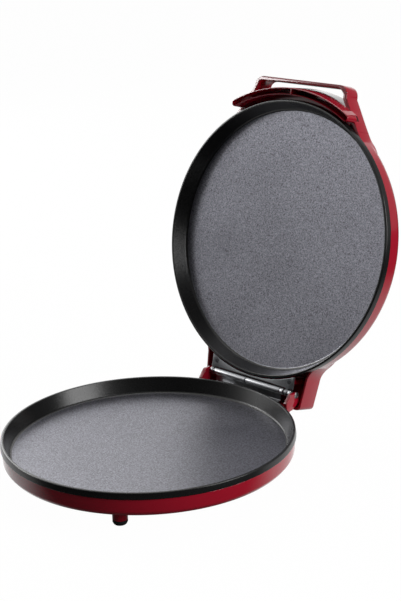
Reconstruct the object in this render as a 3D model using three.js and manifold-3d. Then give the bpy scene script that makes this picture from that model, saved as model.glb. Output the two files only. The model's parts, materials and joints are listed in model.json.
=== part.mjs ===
// Electric pizza maker: two shallow non-stick pans, each in a round plastic
// shell with its own heating element, joined by a hinge at the back. The lid
// stands open at rest. Millimetres, +Z up, the handle towards -Y, the hinge
// towards +Y.
import * as THREE from 'three';
import { mergeVertices } from 'three/addons/utils/BufferGeometryUtils.js';
import Module from 'manifold-3d';

const wasm = await Module();
wasm.setup();

// Driving dimensions of the whole object
const lipRadius = 154.8;
const openAngle = 105;
const lipGap = 0.4;
const gap = 0.3;
const overrun = 5;

// Pans: the die-cast plates, alike above and below
const lipWidth = 2.8;
const lipRound = 0.8;
const skirtFlare = 0.9;
const skirtHeight = 6.8;
const skirtWall = 2;
const panDepth = 17.4;
const panSlope = 9;
const panFloorRound = 2;
const panWall = 2;
const bossRadius = 4.5;
const bossHeight = 3.2;
const bossInset = 28.8;
const bossAngles = [40, 140, 220, 320];
const studRadius = 2.4;
const studLength = 3.5;

// Base shell
const shellInset = 0.4;
const shellWall = 2;
const baseDraft = 0.5;
const baseEdgeInset = 2;
const baseEdgeRise = 7.1;
const baseEdgeRound = 4;
const bellyRun = 15.9;
const bellyRound = 10;
const bellyHeight = 13;
const bellyClearance = 1.15;
const shoulderRadius = 6.4;

// Lid shell
const lidEdgeRound = 12;
const edgeClearance = 1.47;
const lidEdgeSweep = 80;
const crownClearance = 10.15;

// Feet
const footX = 70;
const frontFootInset = 45.8;
const rearFootInset = 28.8;
const footRadius = 7.7;
const padHeight = 5;
const padRound = 2.5;

// Hinge pin with its clip and washers
const hingeStandoff = 8.5;
const hingeRise = 4.2;
const pinRadius = 2.2;
const pinShow = 2.6;
const pinHeadRadius = 3.6;
const pinHeadWidth = 1.3;
const pinRecess = 1.8;
const washerRadius = 3.7;

// Hinge ears and shelf of the base shell
const earInnerX = 62;
const earThickness = 4.6;
const earSlopeFront = 17.3;
const earShoulderDrop = 5.2;
const earTopFront = 9.3;
const earRise = 3.6;
const earBack = 4.7;
const earRearDrop = 8.4;
const earHeel = 6.3;
const earHeelDrop = 14.4;
const shelfDrop = 2.5;
const shelfWall = 3.7;
const shelfSetback = 3.3;

// Hinge bracket of the base
const barrelRadius = 4.1;
const barrelInset = 4;
const barrelRightInset = 9.6;
const barrelJointX = -7;
const barrelJointWidth = 0.6;
const webWall = 1.6;
const shelfScrewX = 30;
const shelfScrewClearance = 0.52;
const shelfScrewHead = 2.6;
const shelfScrewLength = 5;

// Hinge bracket of the lid
const knuckleRadius = 4.3;
const knuckleClearance = 0.4;
const knuckleWidth = 4;
const leftKnuckleInset = 4;
const rightKnuckleInset = 9;
const lidPlateRise = 1.5;
const lidPlateWall = 2;
const lidPlateInset = 1;
const lidPlateSetback = 5;
const lidScrewInset = 7.5;
const lidBossClearance = 1.25;
const lidScrewLength = 12;
const lidBossRadius = 3.9;
const sunkHeadRadius = 2.9;
const sinkClearance = 0.42;

// Hinge cover at the back of the lid
const coverSideGap = 4.9;
const coverOverhang = 16.5;
const coverBow = 2.4;
const coverDrop = 6.5;
const coverCorner = 6;
const coverEdgeRound = 3;
const coverWall = 2.4;
const coverTaper = 3;
const coverFlare = 12.5;
const coverFlareReach = 18;
const coverTuckPull = 2;
const coverTuckTurn = 22;
const coverTuckDepth = 29.4;

// Handle loop at the front of the lid
const handleOverhang = 22.7;
const handleHalfWidth = 66;
const handleCorner = 13;
const handleDrop = 9;
const handleEdgeRound = 5;
const barThickness = 4;
const earWall = 4.6;
const rootX = 96;
const rootPull = 7;
const rootTuckPull = 14;
const rootTuckTurn = 13.55;
const rootTuckDepth = 11.4;
const earFrontPull = 11.5;
const earFrontLean = 8;
const seamAngle = 34;

// Apron of the handle, with a crescent hollow under it
const apronStandoff = 4.7;
const apronWidth = 7.8;
const apronSpread = 3.2;
const apronDrop = 8;
const apronAngle = 29;
const apronWall = 1.2;
const cavityRoof = 14;
const ribWidth = 1.5;
const handleScrewAngle = 15;
const handleScrewDrop = 8.4;
const handleScrewHead = 2.4;
const handleScrewClearance = 0.65;
const handleScrewBite = 2.5;

// Heating elements with their clips and reflectors
const elementRadius = 3.3;
const elementInset = 54.8;
const elementEndX = 15;
const elementOutlet = 9;
const elementLead = 5;
const elementGapAngle = 7;
const coldPinRadius = 1.4;
const coldPinLength = 8;
const clipClearance = 0.65;
const clipWidth = 9;
const clipWall = 0.8;
const clipFoot = 6;
const clipAngles = [0, 180, 270];
const reflectorInset = 2;
const reflectorWall = 0.8;
const reflectorRim = 3;

// Wiring parts
const thermostatRadius = 8;
const thermostatHeight = 6;
const thermostatFlange = 11;
const bladeHalf = 1.6;
const bladeLength = 2;
const fuseRadius = 2.2;
const fuseLength = 16;
const fuseX = 32;
const blockLength = 36;
const blockDepth = 12;
const blockHeight = 7;
const blockStandoff = 4;
const blockHoleShares = [-0.6, 0, 0.6];
const leadRadius = 1.2;
const leadX = 5;
const upperLeadShow = 2.6;
const glandRadius = 4.6;
const glandFlange = 7;
const glandFlangeWidth = 2;
const glandBore = 3.4;
const glandRise = 6.5;
const glandBossStand = 0.2;
const glandInnerLength = 8.6;
const glandBossHalf = 8;

// Indicator lamps
const lampRadius = 3;
const lampFlange = 4.5;
const lampFlangeWall = 1.2;
const lampX = 9;
const lampClearance = 0.7;
const lampLensDrop = 7.4;
const lampLensHeight = 4.2;
const lampBody = 6;

// Pan-head screws
const screwRadius = 1.5;
const screwHeadRadius = 3;
const screwHeadHeight = 1.8;
const screwClearance = 0.3;

// How finely shapes are faceted
const roundSegments = 56;
const smallSegments = 12;
const padSegments = 20;
const leadSegments = 8;
const cornerSegments = 5;
const edgeRoundSteps = 3;
const loopSegments = 6;
const clipSegments = 6;
const apronSegments = 112;
const lidEdgeSteps = 5;
const lidCrownSteps = 4;
const elementKnots = 20;
const elementSteps = 44;
const elementSides = 8;
const vertexMerge = 1e-4;

// Radii and reaches that follow from the sizes above
const lipInner = lipRadius - lipWidth;
const skirtRadius = lipRadius + skirtFlare;
const panFloorRadius = lipRadius - panSlope;
const bossCircleRadius = lipRadius - bossInset;
const shellRadius = lipRadius - shellInset;
const baseEdgeRadius = shellRadius - baseDraft - baseEdgeInset;
const bellyRadius = baseEdgeRadius - bellyRun;
const bellyFlatRadius = bellyRadius - bellyRound;
const lidEdgeCentre = shellRadius - lidEdgeRound;
const frontFootY = frontFootInset - lipRadius;
const rearFootY = lipRadius - rearFootInset;
const hingeY = lipRadius + hingeStandoff;
const earOuterX = earInnerX + earThickness;
const leftKnuckleX = leftKnuckleInset - earInnerX;
const rightKnuckleX = earInnerX - rightKnuckleInset;
const barrelStartX = leftKnuckleX + barrelInset;
const barrelEndX = rightKnuckleX - barrelRightInset;
const knuckleBore = pinRadius + knuckleClearance;
const pinSeat = earOuterX - pinRecess + gap;
const shelfScrewY = Math.sqrt(skirtRadius ** 2 - shelfScrewX ** 2) + shelfScrewHead
  + shelfScrewClearance;
const lidPlateHalf = earInnerX - lidPlateInset;
const lidScrewX = earInnerX - lidScrewInset;
const lidScrewY = Math.sqrt(skirtRadius ** 2 - lidScrewX ** 2) + lidBossRadius + lidBossClearance;
const coverHalfWidth = earOuterX + coverSideGap;
const coverFlareX = coverHalfWidth + coverFlare;
const coverReach = hingeY + coverOverhang;
const handleReach = lipRadius + handleOverhang;
const seamY = -Math.sqrt(shellRadius ** 2 - rootX ** 2);
const apronInnerRadius = lipRadius + apronStandoff;
const apronOuterRadius = apronInnerRadius + apronWidth;
const apronTopRadius = apronOuterRadius + apronSpread;
const handleScrewEnd = apronInnerRadius + handleScrewBite;
const elementRing = lipRadius - elementInset;
const elementEndY = elementRing + elementOutlet;
const reflectorRadius = bellyRadius - reflectorInset;
const blockY = elementEndY + coldPinLength + blockStandoff + blockDepth / 2;
const upperLeadEnd = shellRadius + upperLeadShow;
const glandFace = shellRadius + glandBossStand;
const glandInnerEnd = glandFace - glandInnerLength;
const lampY = -reflectorRadius - lampFlange - lampClearance;

// Heights and depths that follow from the sizes above
const panUnderside = panDepth + panWall;
const elementDepth = panUnderside + gap + elementRadius;
const clipInner = elementRadius + clipClearance;
const reflectorDepth = elementDepth + clipInner + clipWall + gap;
const lipHeight = bellyHeight + shellWall + bellyClearance + reflectorWall + reflectorDepth;
const hingeZ = lipHeight + hingeRise;
const closedHingeZ = hingeRise - lipGap;
const baseShellTop = lipHeight - skirtHeight - gap;
const shelfTop = lipHeight - skirtHeight - shelfDrop;
const bracketFootTop = shelfTop + gap + webWall;
const baseEdgeHeight = bellyHeight + baseEdgeRise;
const baseWallHeight = baseEdgeHeight + baseEdgeRound;
const baseScrewSeat = bellyHeight + screwHeadHeight + gap;
const reflectorFloor = lipHeight - reflectorDepth - reflectorWall;
const glandHeight = bellyHeight + glandRise;
const lidShellBottom = skirtHeight + gap;
const lidCrown = reflectorDepth + reflectorWall + crownClearance;
const lidEdgeCentreHeight = reflectorDepth + reflectorWall + edgeClearance
  - lidEdgeRound * Math.sin(toRadians(lidEdgeSweep));
const coverTop = lidCrown - coverDrop;
const handleTop = lidCrown - handleDrop;
const handleScrewHeight = handleTop - handleScrewDrop;
const handleScrewTop = handleScrewHeight + handleScrewHead - lidEdgeCentreHeight;
const handleScrewSeat = lidEdgeCentre - handleScrewClearance
  + Math.sqrt((lidEdgeRound - shellWall) ** 2 - handleScrewTop ** 2);
const cavityHeight = handleTop - cavityRoof;

function material(color, roughness, metalness) {
  return new THREE.MeshStandardMaterial({ color, roughness, metalness });
}

const redPlastic = material(0xa31f35, 0.28, 0);
const nonStick = material(0x2a2a2d, 0.55, 0.3);
const blackSteel = material(0x1c1c1e, 0.35, 0.6);
const brightSteel = material(0xb9bbbd, 0.25, 1);
const elementSteel = material(0x5d5a57, 0.45, 0.8);
const foil = material(0xc9cbcc, 0.3, 1);
const rubber = material(0x141414, 0.8, 0);
const whiteCeramic = material(0xe8e4da, 0.6, 0);
const sleeve = material(0xd8cfb8, 0.85, 0);
const redLens = material(0xc2261c, 0.15, 0);
const greenLens = material(0x2c8f3c, 0.15, 0);

function toRadians(degrees) {
  return degrees * Math.PI / 180;
}

// A closed geometry as a solid, with shared vertices merged
function solid(geometry) {
  geometry.deleteAttribute('normal');
  geometry.deleteAttribute('uv');
  const merged = mergeVertices(geometry, vertexMerge);
  const corners = [];
  const index = merged.index.array;
  for (let i = 0; i < index.length; i += 3) {
    const [a, b, c] = [index[i], index[i + 1], index[i + 2]];
    if (a !== b && b !== c && a !== c) corners.push(a, b, c);
  }
  return new wasm.Manifold(new wasm.Mesh({
    numProp: 3,
    vertProperties: new Float32Array(merged.attributes.position.array),
    triVerts: new Uint32Array(corners),
  }));
}

// A profile of [radius, height] points turned about the Z axis
function turned(profile, segments = roundSegments) {
  const points = profile.map(([r, z]) => new THREE.Vector2(r, z));
  if (THREE.ShapeUtils.area(points) < 0) points.reverse();
  return solid(new THREE.LatheGeometry(points, segments).rotateX(Math.PI / 2));
}

// A flat shape raised from bottom to top
function prism(shape, bottom, top, curveSegments = cornerSegments) {
  const geometry = new THREE.ExtrudeGeometry(shape, {
    depth: top - bottom, bevelEnabled: false, curveSegments,
  });
  return solid(geometry.translate(0, 0, bottom));
}

// The same with rounded edges at its top only
function roundedPrism(shape, bottom, top, round, curveSegments = cornerSegments) {
  const geometry = new THREE.ExtrudeGeometry(shape, {
    depth: top - bottom, bevelThickness: round, bevelSize: round,
    bevelOffset: -round, bevelSegments: edgeRoundSteps, curveSegments,
  });
  const raised = solid(geometry.translate(0, 0, bottom - round));
  return raised.subtract(slab(bottom - 2 * round - overrun, bottom));
}

// A slab wider than the object, for cutting
function slab(bottom, top) {
  const side = 2 * (handleReach + coverReach);
  return solid(new THREE.BoxGeometry(side, side, top - bottom)
    .translate(0, 0, (bottom + top) / 2));
}

function box(x0, x1, y0, y1, z0, z1) {
  return solid(new THREE.BoxGeometry(x1 - x0, y1 - y0, z1 - z0)
    .translate((x0 + x1) / 2, (y0 + y1) / 2, (z0 + z1) / 2));
}

function postZ(x, y, radius, z0, z1, segments = smallSegments) {
  return solid(new THREE.CylinderGeometry(radius, radius, z1 - z0, segments)
    .rotateX(Math.PI / 2).translate(x, y, (z0 + z1) / 2));
}

function rodX(x0, x1, y, z, radius, segments = smallSegments) {
  return solid(new THREE.CylinderGeometry(radius, radius, x1 - x0, segments)
    .rotateZ(Math.PI / 2).translate((x0 + x1) / 2, y, z));
}

function rodY(x, y0, y1, z, radius, segments = smallSegments) {
  return solid(new THREE.CylinderGeometry(radius, radius, y1 - y0, segments)
    .translate(x, (y0 + y1) / 2, z));
}

// A shape through [x, y] points, joined by straight lines
function polygon(points) {
  return new THREE.Shape(points.map(([x, y]) => new THREE.Vector2(x, y)));
}

// A round section carried along a curve, closed at both ends
function tube(points, radius, steps, sides) {
  const curve = new THREE.CatmullRomCurve3(points.map((p) => new THREE.Vector3(...p)));
  const corners = [];
  for (let k = 0; k < sides; k += 1) corners.push(around(radius, 360 * k / sides));
  return solid(new THREE.ExtrudeGeometry(polygon(corners), {
    steps, extrudePath: curve, bevelEnabled: false,
  }));
}

function around(radius, degrees) {
  return [radius * Math.cos(toRadians(degrees)), radius * Math.sin(toRadians(degrees))];
}

function mesh(name, body, look) {
  const { numProp, vertProperties, triVerts } = body.getMesh();
  const geometry = new THREE.BufferGeometry();
  const position = new Float32Array(vertProperties);
  geometry.setAttribute('position', new THREE.BufferAttribute(position, numProp));
  geometry.setIndex(new THREE.BufferAttribute(new Uint32Array(triVerts), 1));
  geometry.computeVertexNormals();
  const part = new THREE.Mesh(geometry, look);
  part.name = name;
  return part;
}

// The pan's section, with its lip at height 0 and its hollow below
function panBody() {
  const wallTopRadius = lipInner - lipRound / 2;
  const slopeRadius = panFloorRadius + panFloorRound;
  return turned([
    [0, -panDepth],
    [panFloorRadius - panFloorRound, -panDepth],
    [panFloorRadius, -panDepth + panFloorRound / 4],
    [slopeRadius - panFloorRound / 2, -panDepth + panFloorRound],
    [wallTopRadius, -lipRound],
    [lipInner, 0],
    [lipRadius - lipRound, 0],
    [lipRadius, -lipRound],
    [skirtRadius, -skirtHeight],
    [skirtRadius - skirtWall, -skirtHeight],
    [lipInner + panWall - lipRound, -lipWidth],
    [slopeRadius + panWall / 2, -panDepth],
    [panFloorRadius, -panUnderside],
    [0, -panUnderside],
  ]);
}

// Blocks below the pan's floor that its fasteners enter
function panBosses(pan, radius, height) {
  let body = pan;
  for (const angle of bossAngles) {
    const [x, y] = around(bossCircleRadius, angle);
    body = body.add(postZ(x, y, radius, -panUnderside - height, -panUnderside + panWall / 2));
  }
  return body;
}

function lowerPan() {
  let body = panBosses(panBody(), bossRadius, bossHeight);
  for (const angle of bossAngles) {
    const [x, y] = around(bossCircleRadius, angle);
    const bottom = -panUnderside - bossHeight - overrun;
    body = body.subtract(postZ(x, y, screwRadius + screwClearance, bottom, -panUnderside));
  }
  return body.translate(0, 0, lipHeight);
}

// The lid is built closed, with the upper lip at height 0 and its hollow below
function upperPan() {
  const studs = panBosses(panBody(), bossRadius, bossHeight);
  return panBosses(studs, studRadius, bossHeight + studLength).rotate(180, 0, 0);
}

// The base shell's outside, solid down to its belly
function baseOutside() {
  return turned([
    [0, bellyHeight],
    [bellyFlatRadius, bellyHeight],
    [bellyRadius, bellyHeight + shellWall / 2],
    [baseEdgeRadius - shellWall, baseEdgeHeight - shellWall / 2],
    [baseEdgeRadius, baseEdgeHeight],
    [shellRadius - baseDraft, baseWallHeight],
    [shellRadius, baseShellTop],
    [0, baseShellTop],
  ]);
}

// The base shell's hollow, running out past its open top
function baseInside() {
  return turned([
    [0, bellyHeight + shellWall],
    [bellyFlatRadius, bellyHeight + shellWall],
    [bellyRadius, bellyHeight + 1.5 * shellWall],
    [baseEdgeRadius - 2 * shellWall, baseEdgeHeight + shellWall / 2],
    [shellRadius - baseDraft - shellWall, baseWallHeight + shellWall / 2],
    [shellRadius - shellWall, lipHeight],
    [0, lipHeight],
  ]);
}

// A flat [y, z] outline carried along X
function plateX(points, x0, x1) {
  const geometry = new THREE.ExtrudeGeometry(polygon(points), {
    depth: x1 - x0, bevelEnabled: false,
  });
  const turn = new THREE.Matrix4().makeBasis(
    new THREE.Vector3(0, 1, 0), new THREE.Vector3(0, 0, 1), new THREE.Vector3(1, 0, 0));
  return solid(geometry.applyMatrix4(turn).translate(x0, 0, 0));
}

// One hinge ear of the base, seen from the side, around the pin
function earOutline() {
  const rootY = Math.sqrt((shellRadius - shellWall / 2) ** 2 - earOuterX ** 2);
  const rootTop = baseShellTop - gap;
  return [
    [rootY, rootTop],
    [hingeY - earSlopeFront, rootTop],
    [hingeY - earSlopeFront, hingeZ - earShoulderDrop],
    [hingeY - earTopFront, hingeZ + earRise],
    [hingeY + earBack, hingeZ + earRise - earRise / 4],
    [hingeY + earBack, hingeZ - earRearDrop],
    [hingeY - earHeel, hingeZ - earHeelDrop],
    [rootY, rootTop - earHeelDrop / 2],
  ];
}

function baseShell() {
  let body = baseOutside();
  for (const [x, y] of footPlaces()) {
    body = body.add(postZ(x, y, footRadius, padHeight + gap, baseEdgeHeight));
  }
  for (const side of [-1, 1]) {
    const [x0, x1] = [earInnerX * side, earOuterX * side].sort(ascending);
    body = body.add(plateX(earOutline(), x0, x1));
  }
  body = body.add(box(-earInnerX, earInnerX, 0, hingeY - shelfSetback,
    shelfTop - shelfWall, shelfTop));
  body = body.add(box(-glandBossHalf, glandBossHalf, 0, glandFace,
    glandHeight - glandBossHalf, glandHeight + glandBossHalf));
  body = body.subtract(baseInside());
  for (const angle of bossAngles) {
    const [x, y] = around(bossCircleRadius, angle);
    const top = lipHeight - panUnderside - bossHeight - gap;
    body = body.add(postZ(x, y, bossRadius, bellyHeight + shellWall / 2, top));
    body = body.add(postZ(x, y, shoulderRadius, bellyHeight + shellWall / 2, reflectorFloor - gap));
    body = body.subtract(postZ(x, y, screwRadius + screwClearance, 0, top + overrun));
    body = body.subtract(postZ(x, y, screwHeadRadius + screwClearance, 0, baseScrewSeat));
  }
  for (const [x, y] of shelfScrewPlaces()) {
    body = body.subtract(postZ(x, y, screwRadius + screwClearance,
      shelfTop - shelfWall - overrun, shelfTop + overrun));
  }
  const pinStart = -earOuterX - overrun;
  const pinEnd = earOuterX + overrun;
  const recessRadius = pinHeadRadius + gap;
  body = body.subtract(rodX(pinStart, pinEnd, hingeY, hingeZ, pinRadius + gap));
  body = body.subtract(rodX(pinStart, pinRecess - earOuterX, hingeY, hingeZ, recessRadius));
  body = body.subtract(rodX(earOuterX - pinRecess, pinEnd, hingeY, hingeZ, recessRadius));
  return body.subtract(rodY(0, glandInnerEnd - overrun, glandFace + overrun,
    glandHeight, glandRadius + gap));
}

function ascending(a, b) {
  return a - b;
}

function footPlaces() {
  return [[-footX, frontFootY], [footX, frontFootY], [-footX, rearFootY], [footX, rearFootY]];
}

function shelfScrewPlaces() {
  return [[-shelfScrewX, shelfScrewY], [shelfScrewX, shelfScrewY]];
}

function footPad() {
  return turned([
    [0, 0],
    [footRadius - padRound, 0],
    [footRadius - padRound / 4, padRound / 2],
    [footRadius, padRound],
    [footRadius, padHeight],
    [0, padHeight],
  ], padSegments);
}

// A pan-head screw with its head at the bottom and its shaft rising
function panHeadScrew(headRadius, length) {
  return turned([
    [0, -screwHeadHeight],
    [headRadius - screwHeadHeight / 2, -screwHeadHeight],
    [headRadius, -screwHeadHeight / 2],
    [headRadius, 0],
    [screwRadius, 0],
    [screwRadius, length],
    [0, length],
  ], smallSegments);
}

function countersunkScrew(length) {
  return turned([
    [0, 0],
    [sunkHeadRadius, 0],
    [screwRadius, sunkHeadRadius - screwRadius],
    [screwRadius, length],
    [0, length],
  ], smallSegments);
}

// The tubular element: one ring with both ends led out towards the hinge
function element(side) {
  const points = [[-elementEndX, elementEndY, 0], [-elementEndX, elementEndY - elementLead, 0]];
  const gapAngle = 90 + 2 * elementGapAngle;
  for (let k = 0; k <= elementKnots; k += 1) {
    const angle = gapAngle + (360 - 4 * elementGapAngle) * k / elementKnots;
    points.push([...around(elementRing, angle), 0]);
  }
  points.push([elementEndX, elementEndY - elementLead, 0], [elementEndX, elementEndY, 0]);
  let body = tube(points, elementRadius, elementSteps, elementSides);
  for (const x of [-elementEndX, elementEndX]) {
    body = body.add(rodY(x, elementEndY - overrun, elementEndY + coldPinLength, 0, coldPinRadius,
      leadSegments));
  }
  return body.translate(0, 0, side * elementDepth);
}

// A strap over the element, with a flat foot on each side against the pan
function elementClip() {
  const outer = clipInner + clipWall;
  const points = [];
  const top = elementRadius;
  points.push([outer + clipFoot, top], [outer + clipFoot, top - clipWall], [outer, top - clipWall]);
  for (let k = 0; k <= clipSegments; k += 1) {
    points.push(around(outer, -180 * k / clipSegments));
  }
  points.push([-outer, top - clipWall], [-outer - clipFoot, top - clipWall], [-outer - clipFoot, top]);
  points.push([-clipInner, top]);
  for (let k = clipSegments; k >= 0; k -= 1) {
    points.push(around(clipInner, -180 * k / clipSegments));
  }
  points.push([clipInner, top]);
  const strap = prism(polygon(points), -clipWidth / 2, clipWidth / 2);
  return strap.rotate(90, 0, 0);
}

// A shallow foil-faced tray behind the element
function reflector(side) {
  let body = turned([
    [0, 0],
    [reflectorRadius, 0],
    [reflectorRadius, reflectorRim],
    [reflectorRadius - reflectorWall, reflectorRim],
    [reflectorRadius - reflectorWall, reflectorWall],
    [0, reflectorWall],
  ]);
  for (const angle of bossAngles) {
    const [x, y] = around(bossCircleRadius, angle);
    body = body.subtract(postZ(x, y, bossRadius + 2 * gap, -overrun, overrun));
  }
  if (side > 0) {
    return body.rotate(180, 0, 0).translate(0, 0, reflectorDepth + reflectorWall);
  }
  body = body.subtract(postZ(0, 0, thermostatRadius + 1.5 * gap, -overrun, overrun));
  body = body.subtract(box(-blockLength / 2 - 2 * gap, blockLength / 2 + 2 * gap,
    blockY - blockDepth / 2 - 2 * gap, reflectorRadius + overrun, -overrun, overrun));
  return body.translate(0, 0, reflectorFloor);
}

function thermostat() {
  const top = lipHeight - panUnderside - gap;
  let body = turned([
    [0, top - thermostatHeight],
    [thermostatRadius - gap, top - thermostatHeight],
    [thermostatRadius - gap, top - reflectorWall],
    [thermostatFlange, top - reflectorWall],
    [thermostatFlange, top],
    [0, top],
  ], smallSegments);
  for (const side of [-1, 1]) {
    const x = side * thermostatRadius / 2;
    body = body.add(box(x - bladeHalf, x + bladeHalf, -bladeHalf / 2, bladeHalf / 2,
      top - thermostatHeight - bladeLength, top - thermostatHeight + gap));
  }
  return body;
}

function thermalFuse() {
  const z = lipHeight - panUnderside - gap - fuseRadius;
  return rodX(fuseX, fuseX + fuseLength, 0, z, fuseRadius, leadSegments);
}

function terminalBlock() {
  const top = reflectorFloor + blockHeight;
  let body = box(-blockLength / 2, blockLength / 2, blockY - blockDepth / 2,
    blockY + blockDepth / 2, reflectorFloor, top);
  for (const share of blockHoleShares) {
    const x = share * blockLength / 2;
    body = body.subtract(postZ(x, blockY, screwRadius, top - blockHeight / 2, top + overrun,
      leadSegments));
  }
  return body;
}

function cordGland() {
  const body = rodY(0, glandInnerEnd, glandFace + gap + glandFlangeWidth, glandHeight, glandRadius);
  const flange = rodY(0, glandFace + gap, glandFace + gap + glandFlangeWidth,
    glandHeight, glandFlange);
  return body.add(flange).subtract(rodY(0, glandInnerEnd - overrun, glandFace + 2 * overrun,
    glandHeight, glandBore));
}

// The steel bracket on the base, whose back edge is rolled into two barrels
function baseHingeBracket() {
  const webFront = hingeY - webWall / 2;
  const jointStart = barrelJointX - barrelJointWidth / 2;
  const jointEnd = barrelJointX + barrelJointWidth / 2;
  const footBottom = bracketFootTop - webWall;
  let body = box(barrelStartX, barrelEndX, webFront, webFront + webWall, footBottom, hingeZ);
  body = body.subtract(box(jointStart, jointEnd, webFront - overrun, webFront + overrun,
    hingeZ - barrelRadius, hingeZ + overrun));
  body = body.add(rodX(barrelStartX, jointStart, hingeY, hingeZ, barrelRadius));
  body = body.add(rodX(jointEnd, barrelEndX, hingeY, hingeZ, barrelRadius));
  const foot = box(barrelStartX, barrelEndX, 0, webFront + webWall, footBottom, bracketFootTop);
  body = body.add(foot.subtract(postZ(0, 0, shellRadius + gap, 0, 2 * lipHeight, roundSegments)));
  for (const [x, y] of shelfScrewPlaces()) {
    body = body.subtract(postZ(x, y, screwRadius + screwClearance, 0, bracketFootTop + overrun));
  }
  return body.subtract(rodX(barrelStartX - overrun, barrelEndX + overrun,
    hingeY, hingeZ, pinRadius + gap));
}

// The gaps on the pin that loose washers fill, from left to right
function washerSpans() {
  const half = knuckleWidth / 2 + gap;
  return [
    [gap - earInnerX, leftKnuckleX - half],
    [leftKnuckleX + half, barrelStartX - gap],
    [barrelEndX + gap, rightKnuckleX - half - pinShow],
    [rightKnuckleX + half, earInnerX - gap - pinShow],
  ];
}

function hingePin() {
  const end = pinSeat + pinHeadWidth;
  return rodX(-end, end, hingeY, hingeZ, pinRadius)
    .add(rodX(-end, -pinSeat, hingeY, hingeZ, pinHeadRadius));
}

// The ring that keeps the pin's free end in its ear
function pinClip() {
  return ringX(pinSeat, pinSeat + pinHeadWidth, pinHeadRadius);
}

// A ring on the hinge axis that clears the pin
function ringX(x0, x1, radius) {
  return rodX(x0, x1, hingeY, hingeZ, radius)
    .subtract(rodX(x0 - overrun, x1 + overrun, hingeY, hingeZ, pinRadius + gap));
}

// The lid shell's half section, drawn in by an inset from its outside
function lidSection(inset, bottom) {
  const crown = lidCrown - inset;
  const points = [[0, bottom], [shellRadius - inset, bottom]];
  for (let k = 0; k <= lidEdgeSteps; k += 1) {
    const angle = lidEdgeSweep * k / lidEdgeSteps;
    const [x, y] = around(lidEdgeRound - inset, angle);
    points.push([lidEdgeCentre + x, lidEdgeCentreHeight + y]);
  }
  const [domeRadius, domeEdge] = points[points.length - 1];
  for (let k = 1; k <= lidCrownSteps; k += 1) {
    const share = 1 - k / lidCrownSteps;
    points.push([domeRadius * share, crown - (crown - domeEdge) * share ** 2]);
  }
  return points;
}

// The hinge cover's plan, drawn in by an inset
function coverPlan(inset) {
  const half = coverHalfWidth - inset;
  const wide = half + coverTaper;
  const reach = coverReach - inset;
  const flareY = Math.sqrt(shellRadius ** 2 - coverFlareX ** 2);
  const bend = [wide, flareY + coverFlareReach / 2];
  const flare = [coverFlareX - inset, flareY - inset];
  const tuckGuide = [
    flare[0] + coverTuckPull * (flare[0] - bend[0]),
    flare[1] + coverTuckPull * (flare[1] - bend[1]),
  ];
  const flareAngle = THREE.MathUtils.radToDeg(Math.acos(coverFlareX / shellRadius));
  const tuck = around(shellRadius - coverTuckDepth - inset, flareAngle - coverTuckTurn);
  const shape = new THREE.Shape();
  shape.moveTo(0, 0);
  shape.lineTo(...tuck);
  shape.quadraticCurveTo(...tuckGuide, ...flare);
  shape.quadraticCurveTo(...bend, wide, flareY + coverFlareReach);
  shape.lineTo(half, reach - coverCorner);
  shape.quadraticCurveTo(half, reach, half - coverCorner, reach + coverBow / 4);
  shape.quadraticCurveTo(0, reach + 2 * coverBow, coverCorner - half, reach + coverBow / 4);
  shape.quadraticCurveTo(-half, reach, -half, reach - coverCorner);
  shape.lineTo(-wide, flareY + coverFlareReach);
  shape.quadraticCurveTo(-bend[0], bend[1], -flare[0], flare[1]);
  shape.quadraticCurveTo(-tuckGuide[0], tuckGuide[1], -tuck[0], tuck[1]);
  return shape;
}

// The plan of the handle's loop, drawn in at its sides and at its front
function loopPlan(sideInset, frontInset) {
  const half = handleHalfWidth - sideInset;
  const front = -handleReach + frontInset;
  const corner = handleCorner - sideInset / 2;
  const rootPullX = rootPull * Math.abs(seamY) / shellRadius;
  const rootPullY = rootPull * rootX / shellRadius;
  const root = [rootX - sideInset, seamY];
  const rootGuide = [rootX - sideInset - rootPullX, seamY - rootPullY];
  const tuckGuide = [
    root[0] + rootTuckPull * Math.abs(seamY) / shellRadius,
    root[1] + rootTuckPull * rootX / shellRadius,
  ];
  const rootAngle = THREE.MathUtils.radToDeg(Math.acos(rootX / shellRadius));
  const tuck = around(shellRadius - rootTuckDepth - sideInset, rootTuckTurn - rootAngle);
  const frontGuide = [half + earFrontLean, front + corner + earFrontPull];
  const shape = new THREE.Shape();
  shape.moveTo(0, front);
  shape.lineTo(half - corner, front);
  shape.quadraticCurveTo(half, front, half, front + corner);
  shape.bezierCurveTo(...frontGuide, ...rootGuide, ...root);
  shape.quadraticCurveTo(...tuckGuide, ...tuck);
  shape.lineTo(0, 0);
  shape.lineTo(-tuck[0], tuck[1]);
  shape.quadraticCurveTo(-tuckGuide[0], tuckGuide[1], -root[0], root[1]);
  shape.bezierCurveTo(-rootGuide[0], rootGuide[1], -frontGuide[0], frontGuide[1], -half, front + corner);
  shape.quadraticCurveTo(-half, front, corner - half, front);
  return shape;
}

// The wedge of the lid's front that lies within an angle of the -Y axis
function frontWedge(angle, shift) {
  const reach = handleReach + overrun;
  const half = (reach + shift) * Math.tan(toRadians(angle));
  return prism(polygon([[0, shift], [-half, -reach], [half, -reach]]),
    -2 * apronDrop, 2 * lidCrown);
}

function loopBlock() {
  return roundedPrism(loopPlan(0, 0), lidShellBottom, handleTop, handleEdgeRound, loopSegments);
}

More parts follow.
